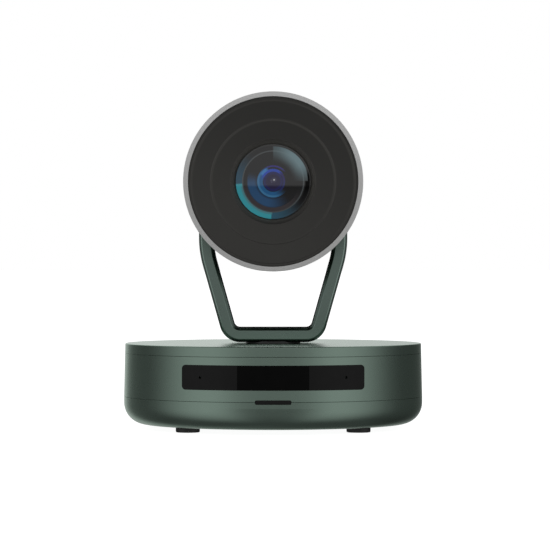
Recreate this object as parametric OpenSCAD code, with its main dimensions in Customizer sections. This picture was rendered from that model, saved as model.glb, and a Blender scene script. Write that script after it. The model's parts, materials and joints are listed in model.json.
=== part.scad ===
// Pan-tilt-zoom conference camera: a round base, a turning U-shaped yoke and a tilting head.
// Millimetres. The origin is on the surface under the feet, below the middle of the base.
// +Z is up and the lens looks along -Y.

/* [Base] */
// Radius of the base at its widest, level with the lower seam
base_r = 72.5; // [72.2:0.1:73]
// Radius of the base at the rim of its top face
base_top_r = 71.9; // [71.6:0.1:72.1]
// Height of the base housing without its feet
base_h = 39; // [38.6:0.1:40]
// Radius of the rounding between the side and the underside
base_fillet = 10.8; // [9:0.1:11.5]
// Thickness of the side walls of the base
base_wall = 2.9; // [2.7:0.1:3]
// Thickness of the floor and of the top of the base
base_floor = 2.4; // [2:0.1:2.6]
// Height of the top cover's side, from the rim down to the upper seam
cap_drop = 4.8; // [4.6:0.1:5.2]
// Distance from the rim down to the lower seam
low_seam_drop = 25.8; // [25.4:0.1:26]
// Width of the shadow gap at each seam
seam = 0.3; // [0.2:0.05:0.4]

/* [Feet and tripod thread] */
// Height that the feet stand out of the underside
foot_h = 2.5; // [2.2:0.1:3]
// Radius of a foot
foot_r = 5.75; // [5:0.05:6]
// Sideways distance of the feet from the middle
foot_x = 40.6; // [38:0.1:41]
// Front and rear distance of the feet from the middle
foot_y = 37; // [35:0.5:38]
// Radius of the wall of the quarter-inch camera thread
thread_r = 2.6; // [2.55:0.05:2.8]

/* [Front panel] */
// Width of the panel, measured straight across
panel_w = 85.7; // [80:0.1:88]
// Distance from the rim down to the panel
panel_drop = 8.6; // [8:0.1:9]
// Height of the panel
panel_h = 11.7; // [11:0.1:12]
// Radius of the panel's corners
panel_corner = 1.8; // [1:0.1:2.5]
// Width of the glossy window in the middle of the panel
window_w = 33.6; // [30:0.1:36]
// Sideways distance of the microphone holes
mic_x = 34.4; // [30:0.1:36]
// Radius of a microphone hole
mic_hole_r = 0.65; // [0.5:0.05:0.8]
// Width of the status light slot
slot_w = 17; // [14:0.1:20]
// Height of the status light slot
slot_h = 2.05; // [1.8:0.05:2.4]

/* [Rear panel] */
// Width of the recess for the sockets
recess_w = 70; // [69:0.5:70]
// Distance of the socket face from the middle of the base
socket_y = 60; // [59.8:0.1:60.1]
// Height of the recess for the sockets
recess_h = 16; // [15.8:0.1:16.2]

/* [Yoke] */
// Gap between the top of the base and the underside of the yoke
yoke_gap = 1.15; // [1:0.05:1.4]
// Height of the tilt axis above the top of the base
pivot_rise = 77.6; // [77.2:0.1:78]
// Distance of the arms' outer faces from the middle at the tilt axis
yoke_x = 36; // [36:0.1:36.3]
// Thickness of an arm
arm_t = 6.4; // [6.2:0.1:6.5]
// Thickness of the bar that joins the arms
bar_t = 6.15; // [6:0.05:6.4]
// Lean of the lower stretch of an arm
lean = 15.7; // [15:0.1:16]
// Height of the bend above the underside of the yoke
bend_rise = 43.7; // [43:0.1:45]
// Radius of that bend at the outer face
bend_r = 50; // [40:1:55]
// Radius of the lower corners at the outer face
corner_r = 10.2; // [9.5:0.1:11]
// Radius of the lower corners at the inner face
inner_corner_r = 3; // [2.5:0.1:4]
// Half the front-to-back depth of the bar
bar_half = 13; // [12:0.5:13]
// Radius of the arms' round ends
pivot_r = 15; // [14:0.5:15]
// Radius of the black neck under the yoke
neck_r = 13.2; // [12.8:0.1:13.4]

/* [Head] */
// Radius of the head shell
head_r = 42; // [41.8:0.1:42.2]
// Outer radius of the front ring
ring_r = 42.6; // [42.4:0.1:42.8]
// Radius of the dark front disc
disc_r = 40.35; // [40.2:0.05:40.4]
// Distance of the front face from the tilt axis
front_y = 46; // [45.8:0.1:46.4]
// Length of the front ring
ring_l = 5; // [4.8:0.1:5.2]
// Distance from the tilt axis to the shoulder behind which the arms fit
shoulder_y = 37; // [36.8:0.1:37.4]
// Distance of the rear face from the tilt axis
rear_y = 38; // [37:0.5:39]
// Radius of the rounding at the rear
rear_fillet = 16; // [14:0.5:17]
// Distance of the flat sides from the middle
flat_x = 28.8; // [28.5:0.1:28.9]
// Wall thickness of the head
head_wall = 2.3; // [2:0.1:2.4]
// Position of the split between the shell and the rear cover
split_y = 16; // [15.5:0.5:17]

/* [Lens] */
// Radius of the front glass
glass_r = 17.7; // [17.4:0.05:17.8]
// Height of the front glass's dome
glass_rise = 2.2; // [1.5:0.1:2.4]
// Outer radius of the fine ring behind the glass
trim_r = 14.8; // [14.5:0.05:14.9]
// Radius of the objective lens
objective_r = 12.3; // [12:0.05:12.4]
// Radius of the innermost lens
inner_lens_r = 7.3; // [7:0.05:7.5]

/* [Drives] */
// Distance of the pan motor from the pan axis
pan_motor_d = 39.6; // [39.4:0.1:40]
// Radius of the pan pulley
pan_pulley_r = 22; // [21:0.5:22]
// Radius of the pan motor's pulley
pan_pinion_r = 6; // [5.5:0.1:6]
// Height of the tilt motor above the tilt axis
tilt_motor_rise = 25.5; // [25.4:0.1:25.8]
// Radius of the fixed tilt pulley
tilt_pulley_r = 9; // [8.5:0.1:9]
// Radius of the tilt motor's pulley
tilt_pinion_r = 4.5; // [4.3:0.1:4.5]

/* [Hidden] */
$fn = 128;
top_z = foot_h + base_h;
cap_seam_z = top_z - cap_drop;
low_seam_z = top_z - low_seam_drop;
floor_z = foot_h + base_floor;
base_in_r = base_r - base_wall;
tilt_z = top_z + pivot_rise;
yoke_z = top_z + yoke_gap;

// Front panel
panel_z = top_z - panel_drop - panel_h / 2;
panel_floor_r = 70.8;
panel_back_r = 70.9;
window_back_r = 71.4;
mic_angle = asin(mic_x / base_r);

// Inside of the base
lip_t = 1.2;
lip_clearance = 0.15;
lug_r = 57;
lug_angles = [20, 160, 200, 340];
lug_z = 18.2;
lug_h = 6;
screw_r = 1.3;
chassis_z = floor_z;
chassis_t = 1.2;
board_z = 9;
board_t = 1.6;
inner_floor_r = 50;
standoffs = [[38, -16], [-42, -8], [36, 24], [0, -44]];
pillar_r = 3;
pillar_d = 34;
pillar_angles = [0, -75, -150];
pan_motor_angle = 135;
pan_motor_r = 17.5;
pan_motor_top = 17.4;
bearing_plate_z = 31;
bearing_plate_t = 2.5;
bearing_r = 16;
spindle_r = 9;
spindle_bottom = 13;
pulley_z = 22;
pulley_h = 6;
belt_t = 1.3;
belt_clearance = 0.3;

// Rear sockets: the middle of each along X and up Z
recess_z = 26.2;
lan_x = -15;
hdmi_x = 14.5;
usb_x = 0.5;
power_x = 28.5;
audio_x = -29.5;
audio_z = 29.3;
reset_z = 22.2;
reset_r = 1.4;

// Yoke
spindle_socket = 3;
liner_t = 1.2;
liner_margin = 2.2;
liner_top = tilt_z - 23;
cable_half = 4;
cable_t = 0.35;
hub_r = 12;
hub_t = 2;
hub_pocket = 3.4;
shaft_r = 5;
shaft_end = 20.2;
cap_r = 9;
cap_t = 1.15;
hub_screw_d = 6;
arm_in_x = yoke_x - arm_t;

// Head
head_in_r = head_r - head_wall;
taper_start = 30;
block_x = 18.5;
block_z = 17;
block_front = -29;
block_rear = 12;
block_bore = 15.5;
barrel_r = 17.4;
rod_x = 12;
rod_r = 1;
tilt_belt_x = 22.3;
tilt_pulley_w = 3.4;
tilt_motor_r = 8;
bearing_x = 26.1;

// ---------------------------------------------------------------- shared shapes

// Radius of the base's side at height z
function base_side(z) = base_r - (base_r - base_top_r) * max(0, z - low_seam_z) / low_seam_drop;

function unit(v) = v / norm(v);

// Points of the arc of radius r that rounds corner b between a and c
function corner_arc(a, b, c, r, n = 14) =
    let (
        u = unit(a - b),
        v = unit(c - b),
        half = acos(u * v) / 2,
        centre = b + unit(u + v) * r / sin(half),
        first = b + u * r / tan(half) - centre,
        start = atan2(first[1], first[0]),
        turn = sign(cross(b - a, c - b)) * (180 - 2 * half)
    )
    [for (i = [0:n]) centre + r * [cos(start + turn * i / n), sin(start + turn * i / n)]];

// Right half of the yoke's outline, set in from the outer face by o
function yoke_side(o) =
    let (
        z0 = yoke_z + o * bar_t / arm_t,
        x1 = yoke_x - o,
        z1 = yoke_z + bend_rise + o * tan(lean / 2),
        x0 = x1 - (z1 - z0) * tan(lean),
        r0 = corner_r + (inner_corner_r - corner_r) * o / arm_t
    )
    concat(
        corner_arc([0, z0], [x0, z0], [x1, z1], r0),
        corner_arc([x0, z0], [x1, z1], [x1, tilt_z + 20], bend_r - o),
        [[x1, tilt_z + 20]]
    );

function mirrored(points) = [for (i = [len(points) - 1:-1:0]) [-points[i][0], points[i][1]]];

module round_rect(w, h, r) {
    square([w, h - 2 * r], center = true);
    square([w - 2 * r, h], center = true);
    for (sx = [-1, 1], sy = [-1, 1]) {
        translate([sx * (w / 2 - r), sy * (h / 2 - r)]) circle(r);
    }
}

module tube(r_out, r_in, h) {
    difference() {
        cylinder(r = r_out, h = h);
        translate([0, 0, -1]) cylinder(r = r_in, h = h + 2);
    }
}

// Extrudes an outline drawn in X and Z towards the front
module on_front() {
    rotate([90, 0, 0]) linear_extrude(base_r + 10) children();
}

// Extrudes an outline drawn in X and Z from y0 to y1
module between_y(y0, y1) {
    translate([0, y1, 0]) rotate([90, 0, 0]) linear_extrude(y1 - y0) children();
}

// Turns a shape built along Z so that it lies along +Y on the tilt axis's level
module about_y() {
    translate([0, 0, tilt_z]) rotate([-90, 0, 0]) children();
}

// Turns a shape built along Z so that it lies along +X on the tilt axis
module about_x() {
    translate([0, 0, tilt_z]) rotate([0, 90, 0]) children();
}

// Revolved layer of the base's side, from radius r_in to the side less out_gap
module side_layer(r_in, out_gap, z0, z1) {
    rotate_extrude() polygon([
        [r_in, z0], [base_side(z0) - out_gap, z0], [base_side(z1) - out_gap, z1], [r_in, z1]
    ]);
}

module panel_outline(gap) {
    translate([0, panel_z]) round_rect(panel_w - 2 * gap, panel_h - 2 * gap, panel_corner - gap);
}

module slot_outline(gap) {
    translate([0, low_seam_z]) round_rect(slot_w - 2 * gap, slot_h - 2 * gap, 0.7);
}

// Room that the rear panel takes inside the shells
module rear_room() {
    translate([-39, 57.6, low_seam_z - 5]) cube([78, 20, 30]);
}

// Points of a loop round two pulleys, the second one at [d, 0]
function belt_points(r1, r2, d, n = 40) =
    let (a = acos((r1 - r2) / d))
    concat(
        [for (i = [0:n]) r1 * [cos(a + (360 - 2 * a) * i / n), sin(a + (360 - 2 * a) * i / n)]],
        [for (i = [0:n]) [d, 0] + r2 * [cos(2 * a * i / n - a), sin(2 * a * i / n - a)]]
    );

module belt_loop(r1, r2, d, h) {
    linear_extrude(h) difference() {
        polygon(belt_points(r1 + belt_t, r2 + belt_t, d));
        polygon(belt_points(r1, r2, d));
    }
}

module flanged_pulley(r, h, flange, flange_t, bore) {
    difference() {
        union() {
            cylinder(r = r, h = h);
            cylinder(r = r + flange, h = flange_t);
            translate([0, 0, h - flange_t]) cylinder(r = r + flange, h = flange_t);
        }
        translate([0, 0, -1]) cylinder(r = bore, h = h + 2);
    }
}

// Pan-head screw pointing up, with its head's top at z = 0
module screw_up(head_r, head_h, shank_r, l) {
    difference() {
        union() {
            cylinder(r = head_r, h = head_h);
            cylinder(r = shank_r, h = l);
        }
        for (a = [0, 90]) {
            rotate([0, 0, a]) translate([-head_r * 0.6, -head_r * 0.13, -1])
                cube([head_r * 1.2, head_r * 0.26, 1 + head_h * 0.55]);
        }
    }
}

// ---------------------------------------------------------------- base housing

module tray_profile(inset, h) {
    r = base_r - inset;
    f = base_fillet - inset;
    intersection() {
        union() {
            square([r - f, h + 1]);
            translate([0, f]) square([r, h + 1]);
            translate([r - f, f]) circle(f);
        }
        square([r + 1, h]);
    }
}

module base_tray() {
    h = low_seam_z - seam / 2 - foot_h;
    lip_r = base_in_r - lip_clearance;
    color("#56645c") difference() {
        union() {
            translate([0, 0, foot_h]) rotate_extrude() difference() {
                tray_profile(0, h);
                translate([0, base_floor]) tray_profile(base_wall, h);
            }
            difference() {
                translate([0, 0, low_seam_z - 3]) tube(lip_r, lip_r - lip_t, 5);
                rear_room();
            }
            translate([0, 0, low_seam_z - 3]) tube(base_in_r + 0.5, lip_r - lip_t, 1.5);
            translate([0, 0, foot_h]) cylinder(r = 8, h = 7.4);
            for (a = lug_angles) {
                rotate([0, 0, a]) translate([lug_r, 0, foot_h]) cylinder(r = 3.5, h = lug_z - foot_h - 0.1);
            }
        }
        translate([0, 0, foot_h - 1]) cylinder(r = 4.52, h = 12);
        translate([0, 0, foot_h - 1]) cylinder(r = 5.6, h = 1.8);
        for (sx = [-1, 1], sy = [-1, 1]) {
            translate([sx * foot_x, sy * foot_y, foot_h - 1]) cylinder(r = foot_r + 0.1, h = 1.6);
        }
        for (a = lug_angles) {
            rotate([0, 0, a]) translate([lug_r, 0, foot_h - 1]) cylinder(r = 2.9, h = 3);
            rotate([0, 0, a]) translate([lug_r, 0, foot_h]) cylinder(r = screw_r + 0.2, h = 30);
        }
        for (i = [-4:4], s = [-1, 1]) {
            rotate([0, 0, 90 * s + i * 5]) translate([51.5, -0.75, foot_h - 1]) cube([9, 1.5, 5]);
        }
        on_front() slot_outline(0);
    }
}

module base_band() {
    z0 = low_seam_z + seam / 2;
    z1 = cap_seam_z - seam / 2;
    color("#5a6a61") difference() {
        union() {
            side_layer(base_in_r, 0, z0, z1);
            for (a = lug_angles) {
                rotate([0, 0, a]) translate([lug_r - 4, -3.5, lug_z]) cube([base_in_r - lug_r + 5, 7, lug_h]);
            }
            intersection() {
                cylinder(r = base_in_r + 1, h = top_z);
                for (s = [-1, 1]) {
                    translate([s * 14 - 1, -base_r, panel_z - 4]) cube([2, base_r - 65.6, 8]);
                }
            }
        }
        intersection() {
            side_layer(panel_floor_r, -2, z0, z1);
            on_front() panel_outline(0);
        }
        on_front() translate([0, panel_z]) square([24, 7], center = true);
        for (s = [-1, 1]) {
            rotate([0, 0, s * mic_angle]) translate([0, 0, panel_z]) rotate([90, 0, 0])
                cylinder(r = mic_hole_r + 0.2, h = 100);
        }
        translate([-recess_w / 2, 40, recess_z - recess_h / 2]) cube([recess_w, 50, recess_h]);
        for (a = lug_angles) {
            rotate([0, 0, a]) translate([lug_r, 0, lug_z - 1]) cylinder(r = screw_r, h = 5.2);
        }
        on_front() slot_outline(0);
    }
}

module top_cover() {
    z0 = cap_seam_z + seam / 2;
    lip_r = base_in_r - lip_clearance;
    color("#66766c") difference() {
        union() {
            side_layer(0, 0, z0, top_z);
            difference() {
                translate([0, 0, z0 - 2]) cylinder(r = lip_r, h = 3);
                rear_room();
            }
        }
        translate([0, 0, z0 - 3]) cylinder(r = lip_r - lip_t, h = top_z - base_floor - z0 + 3);
        translate([0, 0, z0]) cylinder(r = neck_r + 0.6, h = 20);
    }
}

module front_panel() {
    z0 = panel_z - panel_h;
    z1 = panel_z + panel_h;
    color("#1c1c1c") difference() {
        intersection() {
            side_layer(panel_back_r, 0.1, z0, z1);
            on_front() panel_outline(0.1);
        }
        intersection() {
            side_layer(window_back_r, -2, z0, z1);
            on_front() translate([0, panel_z]) square([window_w, panel_h + 2], center = true);
        }
        on_front() translate([0, panel_z]) square([24, 7], center = true);
        for (s = [-1, 1]) {
            rotate([0, 0, s * mic_angle]) translate([0, 0, panel_z]) rotate([90, 0, 0])
                cylinder(r = mic_hole_r, h = 100);
        }
    }
}

module ir_window() {
    color("#090909") intersection() {
        side_layer(window_back_r + 0.02, 0.08, panel_z - panel_h, panel_z + panel_h);
        on_front() translate([0, panel_z]) square([window_w - 0.1, panel_h - 0.2], center = true);
    }
}

module status_light() {
    color("#202020") intersection() {
        side_layer(base_in_r + 0.1, 0.35, low_seam_z - 3, low_seam_z + 3);
        on_front() slot_outline(0.08);
    }
}

module rubber_feet() {
    edge = 0.8;
    h = foot_h + 0.55;
    color("#151515") for (sx = [-1, 1], sy = [-1, 1]) {
        translate([sx * foot_x, sy * foot_y, 0]) rotate_extrude() {
            square([foot_r - edge, h]);
            translate([0, edge]) square([foot_r, h - edge]);
            translate([foot_r - edge, edge]) circle(edge);
        }
    }
}

module tripod_insert() {
    color("#b5934a") difference() {
        union() {
            translate([0, 0, foot_h]) cylinder(r = 4.5, h = 7);
            translate([0, 0, foot_h]) cylinder(r = 5.5, h = 0.75);
        }
        translate([0, 0, foot_h - 1]) cylinder(r = thread_r, h = 10);
    }
}

// ---------------------------------------------------------------- inside of the base

module at_pan_motor() {
    rotate([0, 0, pan_motor_angle]) translate([pan_motor_d, 0, 0]) children();
}

module chassis_plate() {
    color("#b9bcc0") {
        difference() {
            translate([0, 0, chassis_z]) cylinder(r = inner_floor_r, h = chassis_t);
            translate([0, 0, chassis_z - 1]) cylinder(r = 8.4, h = chassis_t + 2);
        }
        for (p = standoffs) {
            translate([p[0], p[1], chassis_z]) cylinder(r = 2.5, h = board_z - chassis_z);
        }
    }
}

module mainboard() {
    color("#1f5a3c") difference() {
        translate([0, 0, board_z]) cylinder(r = inner_floor_r, h = board_t);
        translate([0, 0, board_z - 1]) cylinder(r = 12, h = board_t + 2);
        at_pan_motor() translate([0, 0, board_z - 1]) cylinder(r = 23.5, h = board_t + 2);
        for (a = pillar_angles) {
            rotate([0, 0, a]) translate([pillar_d, 0, board_z - 1]) cylinder(r = pillar_r + 0.4, h = 4);
        }
    }
}

module heat_sink() {
    w = 18;
    z0 = board_z + board_t;
    color("#9aa0a6") translate([24 - w / 2, -24 - w / 2, z0]) {
        cube([w, w, 1.6]);
        for (i = [0:6]) {
            translate([i * (w - 1) / 6, 0, 1]) cube([1, w, 6]);
        }
    }
}

module pan_motor() {
    z0 = chassis_z + chassis_t;
    color("#8d9297") at_pan_motor() difference() {
        union() {
            translate([0, 0, z0]) cylinder(r = pan_motor_r, h = pan_motor_top - z0);
            translate([0, 0, z0]) cylinder(r = 5, h = pan_motor_top - z0 + 1.2);
        }
        translate([0, 0, z0 + 4]) cylinder(r = 1.3, h = 30);
    }
}

module pan_motor_bracket() {
    z0 = chassis_z + chassis_t;
    color("#a7abb0") at_pan_motor() difference() {
        union() {
            translate([-6, -21, pan_motor_top]) cube([12, 42, 1.5]);
            for (s = [-1, 1]) {
                translate([-6, s * 20 - 1, z0]) cube([12, 2, pan_motor_top - z0 + 1]);
            }
        }
        translate([0, 0, z0]) cylinder(r = 5.1, h = 30);
    }
}

module pan_bearing_plate() {
    z0 = chassis_z + chassis_t;
    color("#b0b4b8") difference() {
        union() {
            translate([0, 0, bearing_plate_z]) cylinder(r = 38, h = bearing_plate_t);
            for (a = pillar_angles) {
                rotate([0, 0, a]) translate([pillar_d, 0, z0])
                    cylinder(r = pillar_r, h = bearing_plate_z - z0 + 1);
            }
        }
        translate([0, 0, bearing_plate_z - 1]) cylinder(r = bearing_r + 0.02, h = 10);
    }
}

module pan_bearing_outer() {
    color("#c8ccd0") difference() {
        union() {
            translate([0, 0, bearing_plate_z]) cylinder(r = bearing_r, h = 6);
            translate([0, 0, bearing_plate_z + bearing_plate_t]) cylinder(r = 17.5, h = 1);
        }
        translate([0, 0, bearing_plate_z - 1]) cylinder(r = 12.7, h = 10);
    }
}

module pan_belt() {
    h = pulley_h - 2;
    r1 = pan_pulley_r + belt_clearance;
    r2 = pan_pinion_r + belt_clearance;
    color("#1a1a1a") translate([0, 0, pulley_z + 1]) rotate([0, 0, pan_motor_angle])
        belt_loop(r1, r2, pan_motor_d, h);
}

module ir_receiver_board() {
    color("#1f5a3c") {
        translate([-15, -65.6, panel_z - 4.5]) cube([30, 1.6, 9]);
        for (x = [-8, 0, 8]) {
            translate([x, -65.5, panel_z]) rotate([90, 0, 0]) cylinder(r = 1.8, h = 2.2);
        }
    }
}

module mic_capsules() {
    color("#8a8a86") for (s = [-1, 1]) {
        rotate([0, 0, s * mic_angle]) translate([0, -66.6, panel_z]) rotate([90, 0, 0])
            tube(2.3, 0.5, base_in_r - 66.7);
    }
}

module base_screws() {
    color("#3a3a3c") for (a = lug_angles) {
        rotate([0, 0, a]) translate([lug_r, 0, foot_h + 0.4]) screw_up(2.7, 1.55, screw_r - 0.02, 18);
    }
}

// ---------------------------------------------------------------- rear sockets

// Box in the rear panel, with its outer end flush with the socket face
module socket_box(x, z, w, h, depth) {
    translate([x - w / 2, socket_y - depth, z - h / 2]) cube([w, depth, h]);
}

module rear_panel() {
    z0 = recess_z - recess_h / 2;
    color("#191a1a") difference() {
        intersection() {
            translate([0, 0, z0 - 1.6]) cylinder(r = base_in_r - 0.1, h = recess_h + 3.2);
            translate([-50, socket_y - 2, 0]) cube([100, 30, top_z]);
        }
        translate([-recess_w / 2, socket_y, z0]) cube([recess_w, 30, recess_h]);
        translate([0, 1, 0]) {
            socket_box(lan_x, recess_z, 16.5, 14.1, 6);
            socket_box(hdmi_x, recess_z, 15.5, 6.7, 6);
            socket_box(usb_x, recess_z, 9.3, 10.7, 6);
            socket_box(power_x, recess_z, 9.1, 11.1, 6);
        }
        translate([audio_x, socket_y - 5, audio_z]) rotate([-90, 0, 0]) cylinder(r = 3.05, h = 10);
        translate([audio_x, socket_y - 5, reset_z]) rotate([-90, 0, 0]) cylinder(r = reset_r + 0.12, h = 10);
    }
}

module lan_port() {
    color("#a9adb0") difference() {
        socket_box(lan_x, recess_z, 16.4, 14, 15);
        translate([0, 1, 0]) socket_box(lan_x, recess_z + 0.6, 11.8, 8, 13);
        translate([0, 1, 0]) socket_box(lan_x, recess_z - 4, 6.4, 3, 13);
    }
}

module hdmi_port() {
    color("#a9adb0") {
        difference() {
            socket_box(hdmi_x, recess_z, 15.4, 6.6, 11);
            translate([0, 1, 0]) socket_box(hdmi_x, recess_z + 0.6, 14, 3.4, 11);
            translate([0, 1, 0]) socket_box(hdmi_x, recess_z - 1.4, 11.6, 2.4, 11);
        }
        translate([0, -1, 0]) socket_box(hdmi_x, recess_z + 0.4, 11, 0.9, 9.5);
    }
}

module usb_port() {
    color("#a9adb0") {
        difference() {
            socket_box(usb_x, recess_z, 9.2, 10.6, 14);
            translate([0, 1, 0]) socket_box(usb_x, recess_z, 8, 9.2, 12);
        }
        translate([0, -1, 0]) socket_box(usb_x, recess_z, 5.2, 3.4, 12);
    }
}

module power_inlet() {
    color("#141414") {
        difference() {
            socket_box(power_x, recess_z, 9, 11, 13);
            translate([power_x, socket_y - 10, recess_z]) rotate([-90, 0, 0]) cylinder(r = 2.9, h = 20);
        }
        translate([power_x, socket_y - 11, recess_z]) rotate([-90, 0, 0]) cylinder(r = 1, h = 10);
    }
}

module audio_jack() {
    color("#4f6e58") translate([audio_x, 0, audio_z]) rotate([-90, 0, 0]) difference() {
        union() {
            translate([0, 0, socket_y - 12]) cylinder(r = 3.6, h = 10);
            translate([0, 0, socket_y - 3]) cylinder(r = 3, h = 3);
        }
        translate([0, 0, socket_y - 11]) cylinder(r = 1.78, h = 20);
    }
}

module reset_button() {
    color("#b8b8b4") translate([audio_x, 0, reset_z]) rotate([-90, 0, 0]) {
        translate([0, 0, socket_y - 5]) cylinder(r = reset_r, h = 5.7);
        translate([0, 0, socket_y - 5]) cylinder(r = reset_r + 0.8, h = 1.8);
    }
}

// ---------------------------------------------------------------- pan drive and turret

module pan_motor_pulley() {
    color("#9da1a6") at_pan_motor() {
        translate([0, 0, pulley_z]) flanged_pulley(pan_pinion_r, pulley_h, belt_t, 0.8, 0.9);
        translate([0, 0, pan_motor_top - 7]) cylinder(r = 1, h = pulley_z + pulley_h - pan_motor_top + 8);
    }
}

module pan_spindle() {
    h = yoke_z + spindle_socket - spindle_bottom;
    color("#b6babe") difference() {
        union() {
            translate([0, 0, spindle_bottom]) cylinder(r = spindle_r, h = h);
            translate([0, 0, bearing_plate_z + 6.1]) cylinder(r = 11.5, h = 2.8);
        }
        translate([0, 0, spindle_bottom - 1]) cylinder(r = 4.5, h = h + 2);
        for (a = [0:120:240]) {
            rotate([0, 0, a]) translate([6.9, 0, yoke_z - 4]) cylinder(r = 0.92, h = 20);
        }
    }
}

module pan_bearing_inner() {
    color("#c8ccd0") translate([0, 0, bearing_plate_z]) tube(12.4, spindle_r + 0.02, 6);
}

module pan_pulley() {
    color("#24262a") translate([0, 0, pulley_z])
        flanged_pulley(pan_pulley_r, pulley_h, belt_t + 0.3, 0.8, spindle_r + 0.02);
}

module neck_collar() {
    z0 = bearing_plate_z + 9;
    color("#121212") translate([0, 0, z0]) tube(neck_r, spindle_r + 0.02, yoke_z - z0);
}

// Everything inside the yoke's outline, set in by o
module yoke_outline(o) {
    side = yoke_side(o);
    polygon(concat(side, mirrored(side)));
}

// Side view of the yoke, set in by o, as a solid across the whole width
module yoke_depth(o) {
    rotate([90, 0, 90]) linear_extrude(2 * yoke_x + 20, center = true) {
        polygon([
            [-bar_half + o, yoke_z - 1], [bar_half - o, yoke_z - 1],
            [pivot_r - o, tilt_z], [-pivot_r + o, tilt_z]
        ]);
        translate([0, tilt_z]) circle(pivot_r - o);
    }
}

// Strip along the inside of the U between two insets
module yoke_strip(o_out, o_in, top) {
    between_y(-30, 30) difference() {
        intersection() {
            yoke_outline(o_out);
            translate([-50, 0]) square([100, top]);
        }
        yoke_outline(o_in);
    }
}

module yoke_frame() {
    color("#4b5851") difference() {
        intersection() {
            yoke_strip(0, arm_t, tilt_z + 19);
            yoke_depth(0);
        }
        intersection() {
            yoke_strip(arm_t - liner_t - 0.05, arm_t + 1, liner_top);
            yoke_depth(liner_margin);
        }
        intersection() {
            yoke_strip(arm_t - liner_t - 0.5, arm_t, liner_top + 14);
            translate([-80, -cable_half - 0.2, 0]) cube([80, 2 * cable_half + 0.4, 200]);
        }
        translate([0, 0, yoke_z - 1]) cylinder(r = spindle_r + 0.02, h = spindle_socket + 1);
        translate([0, 0, yoke_z - 1]) cylinder(r = 4.5, h = 10);
        for (a = [0:120:240]) {
            rotate([0, 0, a]) translate([6.9, 0, yoke_z]) cylinder(r = 1, h = 10);
            rotate([0, 0, a]) translate([6.9, 0, yoke_z + spindle_socket + 0.7]) cylinder(r = 1.7, h = 10);
        }
        for (s = [0, 1]) {
            mirror([s, 0, 0]) about_x() {
                translate([0, 0, arm_in_x - 1]) cylinder(r = hub_r + 0.1, h = hub_pocket + 1);
                translate([0, 0, yoke_x - cap_t - 0.05]) cylinder(r = cap_r + 0.08, h = 5);
                for (a = [0:120:240]) {
                    rotate([0, 0, a]) translate([hub_screw_d, 0, 0]) {
                        translate([0, 0, arm_in_x]) cylinder(r = 1.1, h = 10);
                        translate([0, 0, yoke_x - cap_t - 0.95]) cylinder(r = 2, h = 5);
                    }
                }
            }
        }
    }
}

module yoke_liner() {
    color("#101111") intersection() {
        yoke_strip(arm_t - liner_t, arm_t, liner_top - 0.05);
        yoke_depth(liner_margin + 0.05);
    }
}

module yoke_screws() {
    color("#3a3a3c") for (a = [0:120:240]) {
        rotate([0, 0, a]) translate([6.9, 0, yoke_z + spindle_socket + 1.75]) mirror([0, 0, 1])
            screw_up(1.6, 1, 0.9, 5);
    }
}

module turret_cable() {
    bundle_top = yoke_z + bar_t - liner_t - 0.2;
    color("#2a2c30") {
        translate([0, 0, spindle_bottom]) cylinder(r = 2.6, h = bundle_top - spindle_bottom);
        intersection() {
            yoke_strip(arm_t - liner_t - 0.45, arm_t - liner_t - 0.45 + cable_t, liner_top + 8);
            translate([-80, -cable_half, 0]) cube([80, 2 * cable_half, 200]);
        }
    }
}

module tilt_hubs() {
    color("#b6babe") for (s = [0, 1]) {
        mirror([s, 0, 0]) about_x() difference() {
            union() {
                translate([0, 0, arm_in_x + hub_pocket - hub_t - 0.05]) cylinder(r = hub_r, h = hub_t);
                translate([0, 0, shaft_end]) cylinder(r = shaft_r, h = arm_in_x + hub_pocket - shaft_end - 1);
            }
            translate([0, 0, shaft_end - 1]) cylinder(r = 2.8, h = 20);
            for (a = [0:120:240]) {
                rotate([0, 0, a]) translate([hub_screw_d, 0, arm_in_x]) cylinder(r = 0.82, h = 10);
            }
        }
    }
}

module tilt_fixed_pulley() {
    color("#24262a") about_x() translate([0, 0, tilt_belt_x - tilt_pulley_w / 2])
        flanged_pulley(tilt_pulley_r, tilt_pulley_w, belt_t, 0.4, shaft_r + 0.02);
}

module hub_covers() {
    color("#101111") for (s = [0, 1]) {
        mirror([s, 0, 0]) about_x() translate([0, 0, arm_in_x])
            tube(hub_r, shaft_r + 0.1, hub_pocket - hub_t - 0.1);
    }
}

module hub_screws() {
    color("#3a3a3c") for (s = [0, 1], a = [0:120:240]) {
        mirror([s, 0, 0]) about_x() rotate([0, 0, a]) translate([hub_screw_d, 0, yoke_x - cap_t - 0.1])
            mirror([0, 0, 1]) screw_up(1.9, 0.8, 0.8, 2.6);
    }
}

module pivot_caps() {
    color("#4b5851") for (s = [0, 1]) {
        mirror([s, 0, 0]) about_x() translate([0, 0, yoke_x - cap_t]) cylinder(r = cap_r, h = cap_t);
    }
}

// ---------------------------------------------------------------- head housing

// Profile of the round head, in radius and distance along Y, set in by o
module drum_profile(o, y0) {
    r = head_r - o;
    f = rear_fillet - o;
    y1 = rear_y - o;
    translate([0, y0]) square([r - f, y1 - y0]);
    translate([0, y0]) square([r, y1 - y0 - f]);
    translate([r - f, y1 - f]) circle(f);
}

// Outer form of the head set in by o: a drum whose sides are flattened where the arms reach
module head_form(o, y0) {
    x = flat_x - o;
    s = taper_start - o * 0.3;
    far = 75;
    x_far = x - (far - s) * tan(lean);
    intersection() {
        about_y() rotate_extrude() drum_profile(o, y0);
        union() {
            about_x() rotate_extrude() polygon([
                [0, -x], [s, -x], [far, -x_far], [far, x_far], [s, x], [0, x]
            ]);
            translate([-60, -80, tilt_z - 60]) cube([120, 80 - shoulder_y - o, 120]);
        }
    }
}

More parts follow.
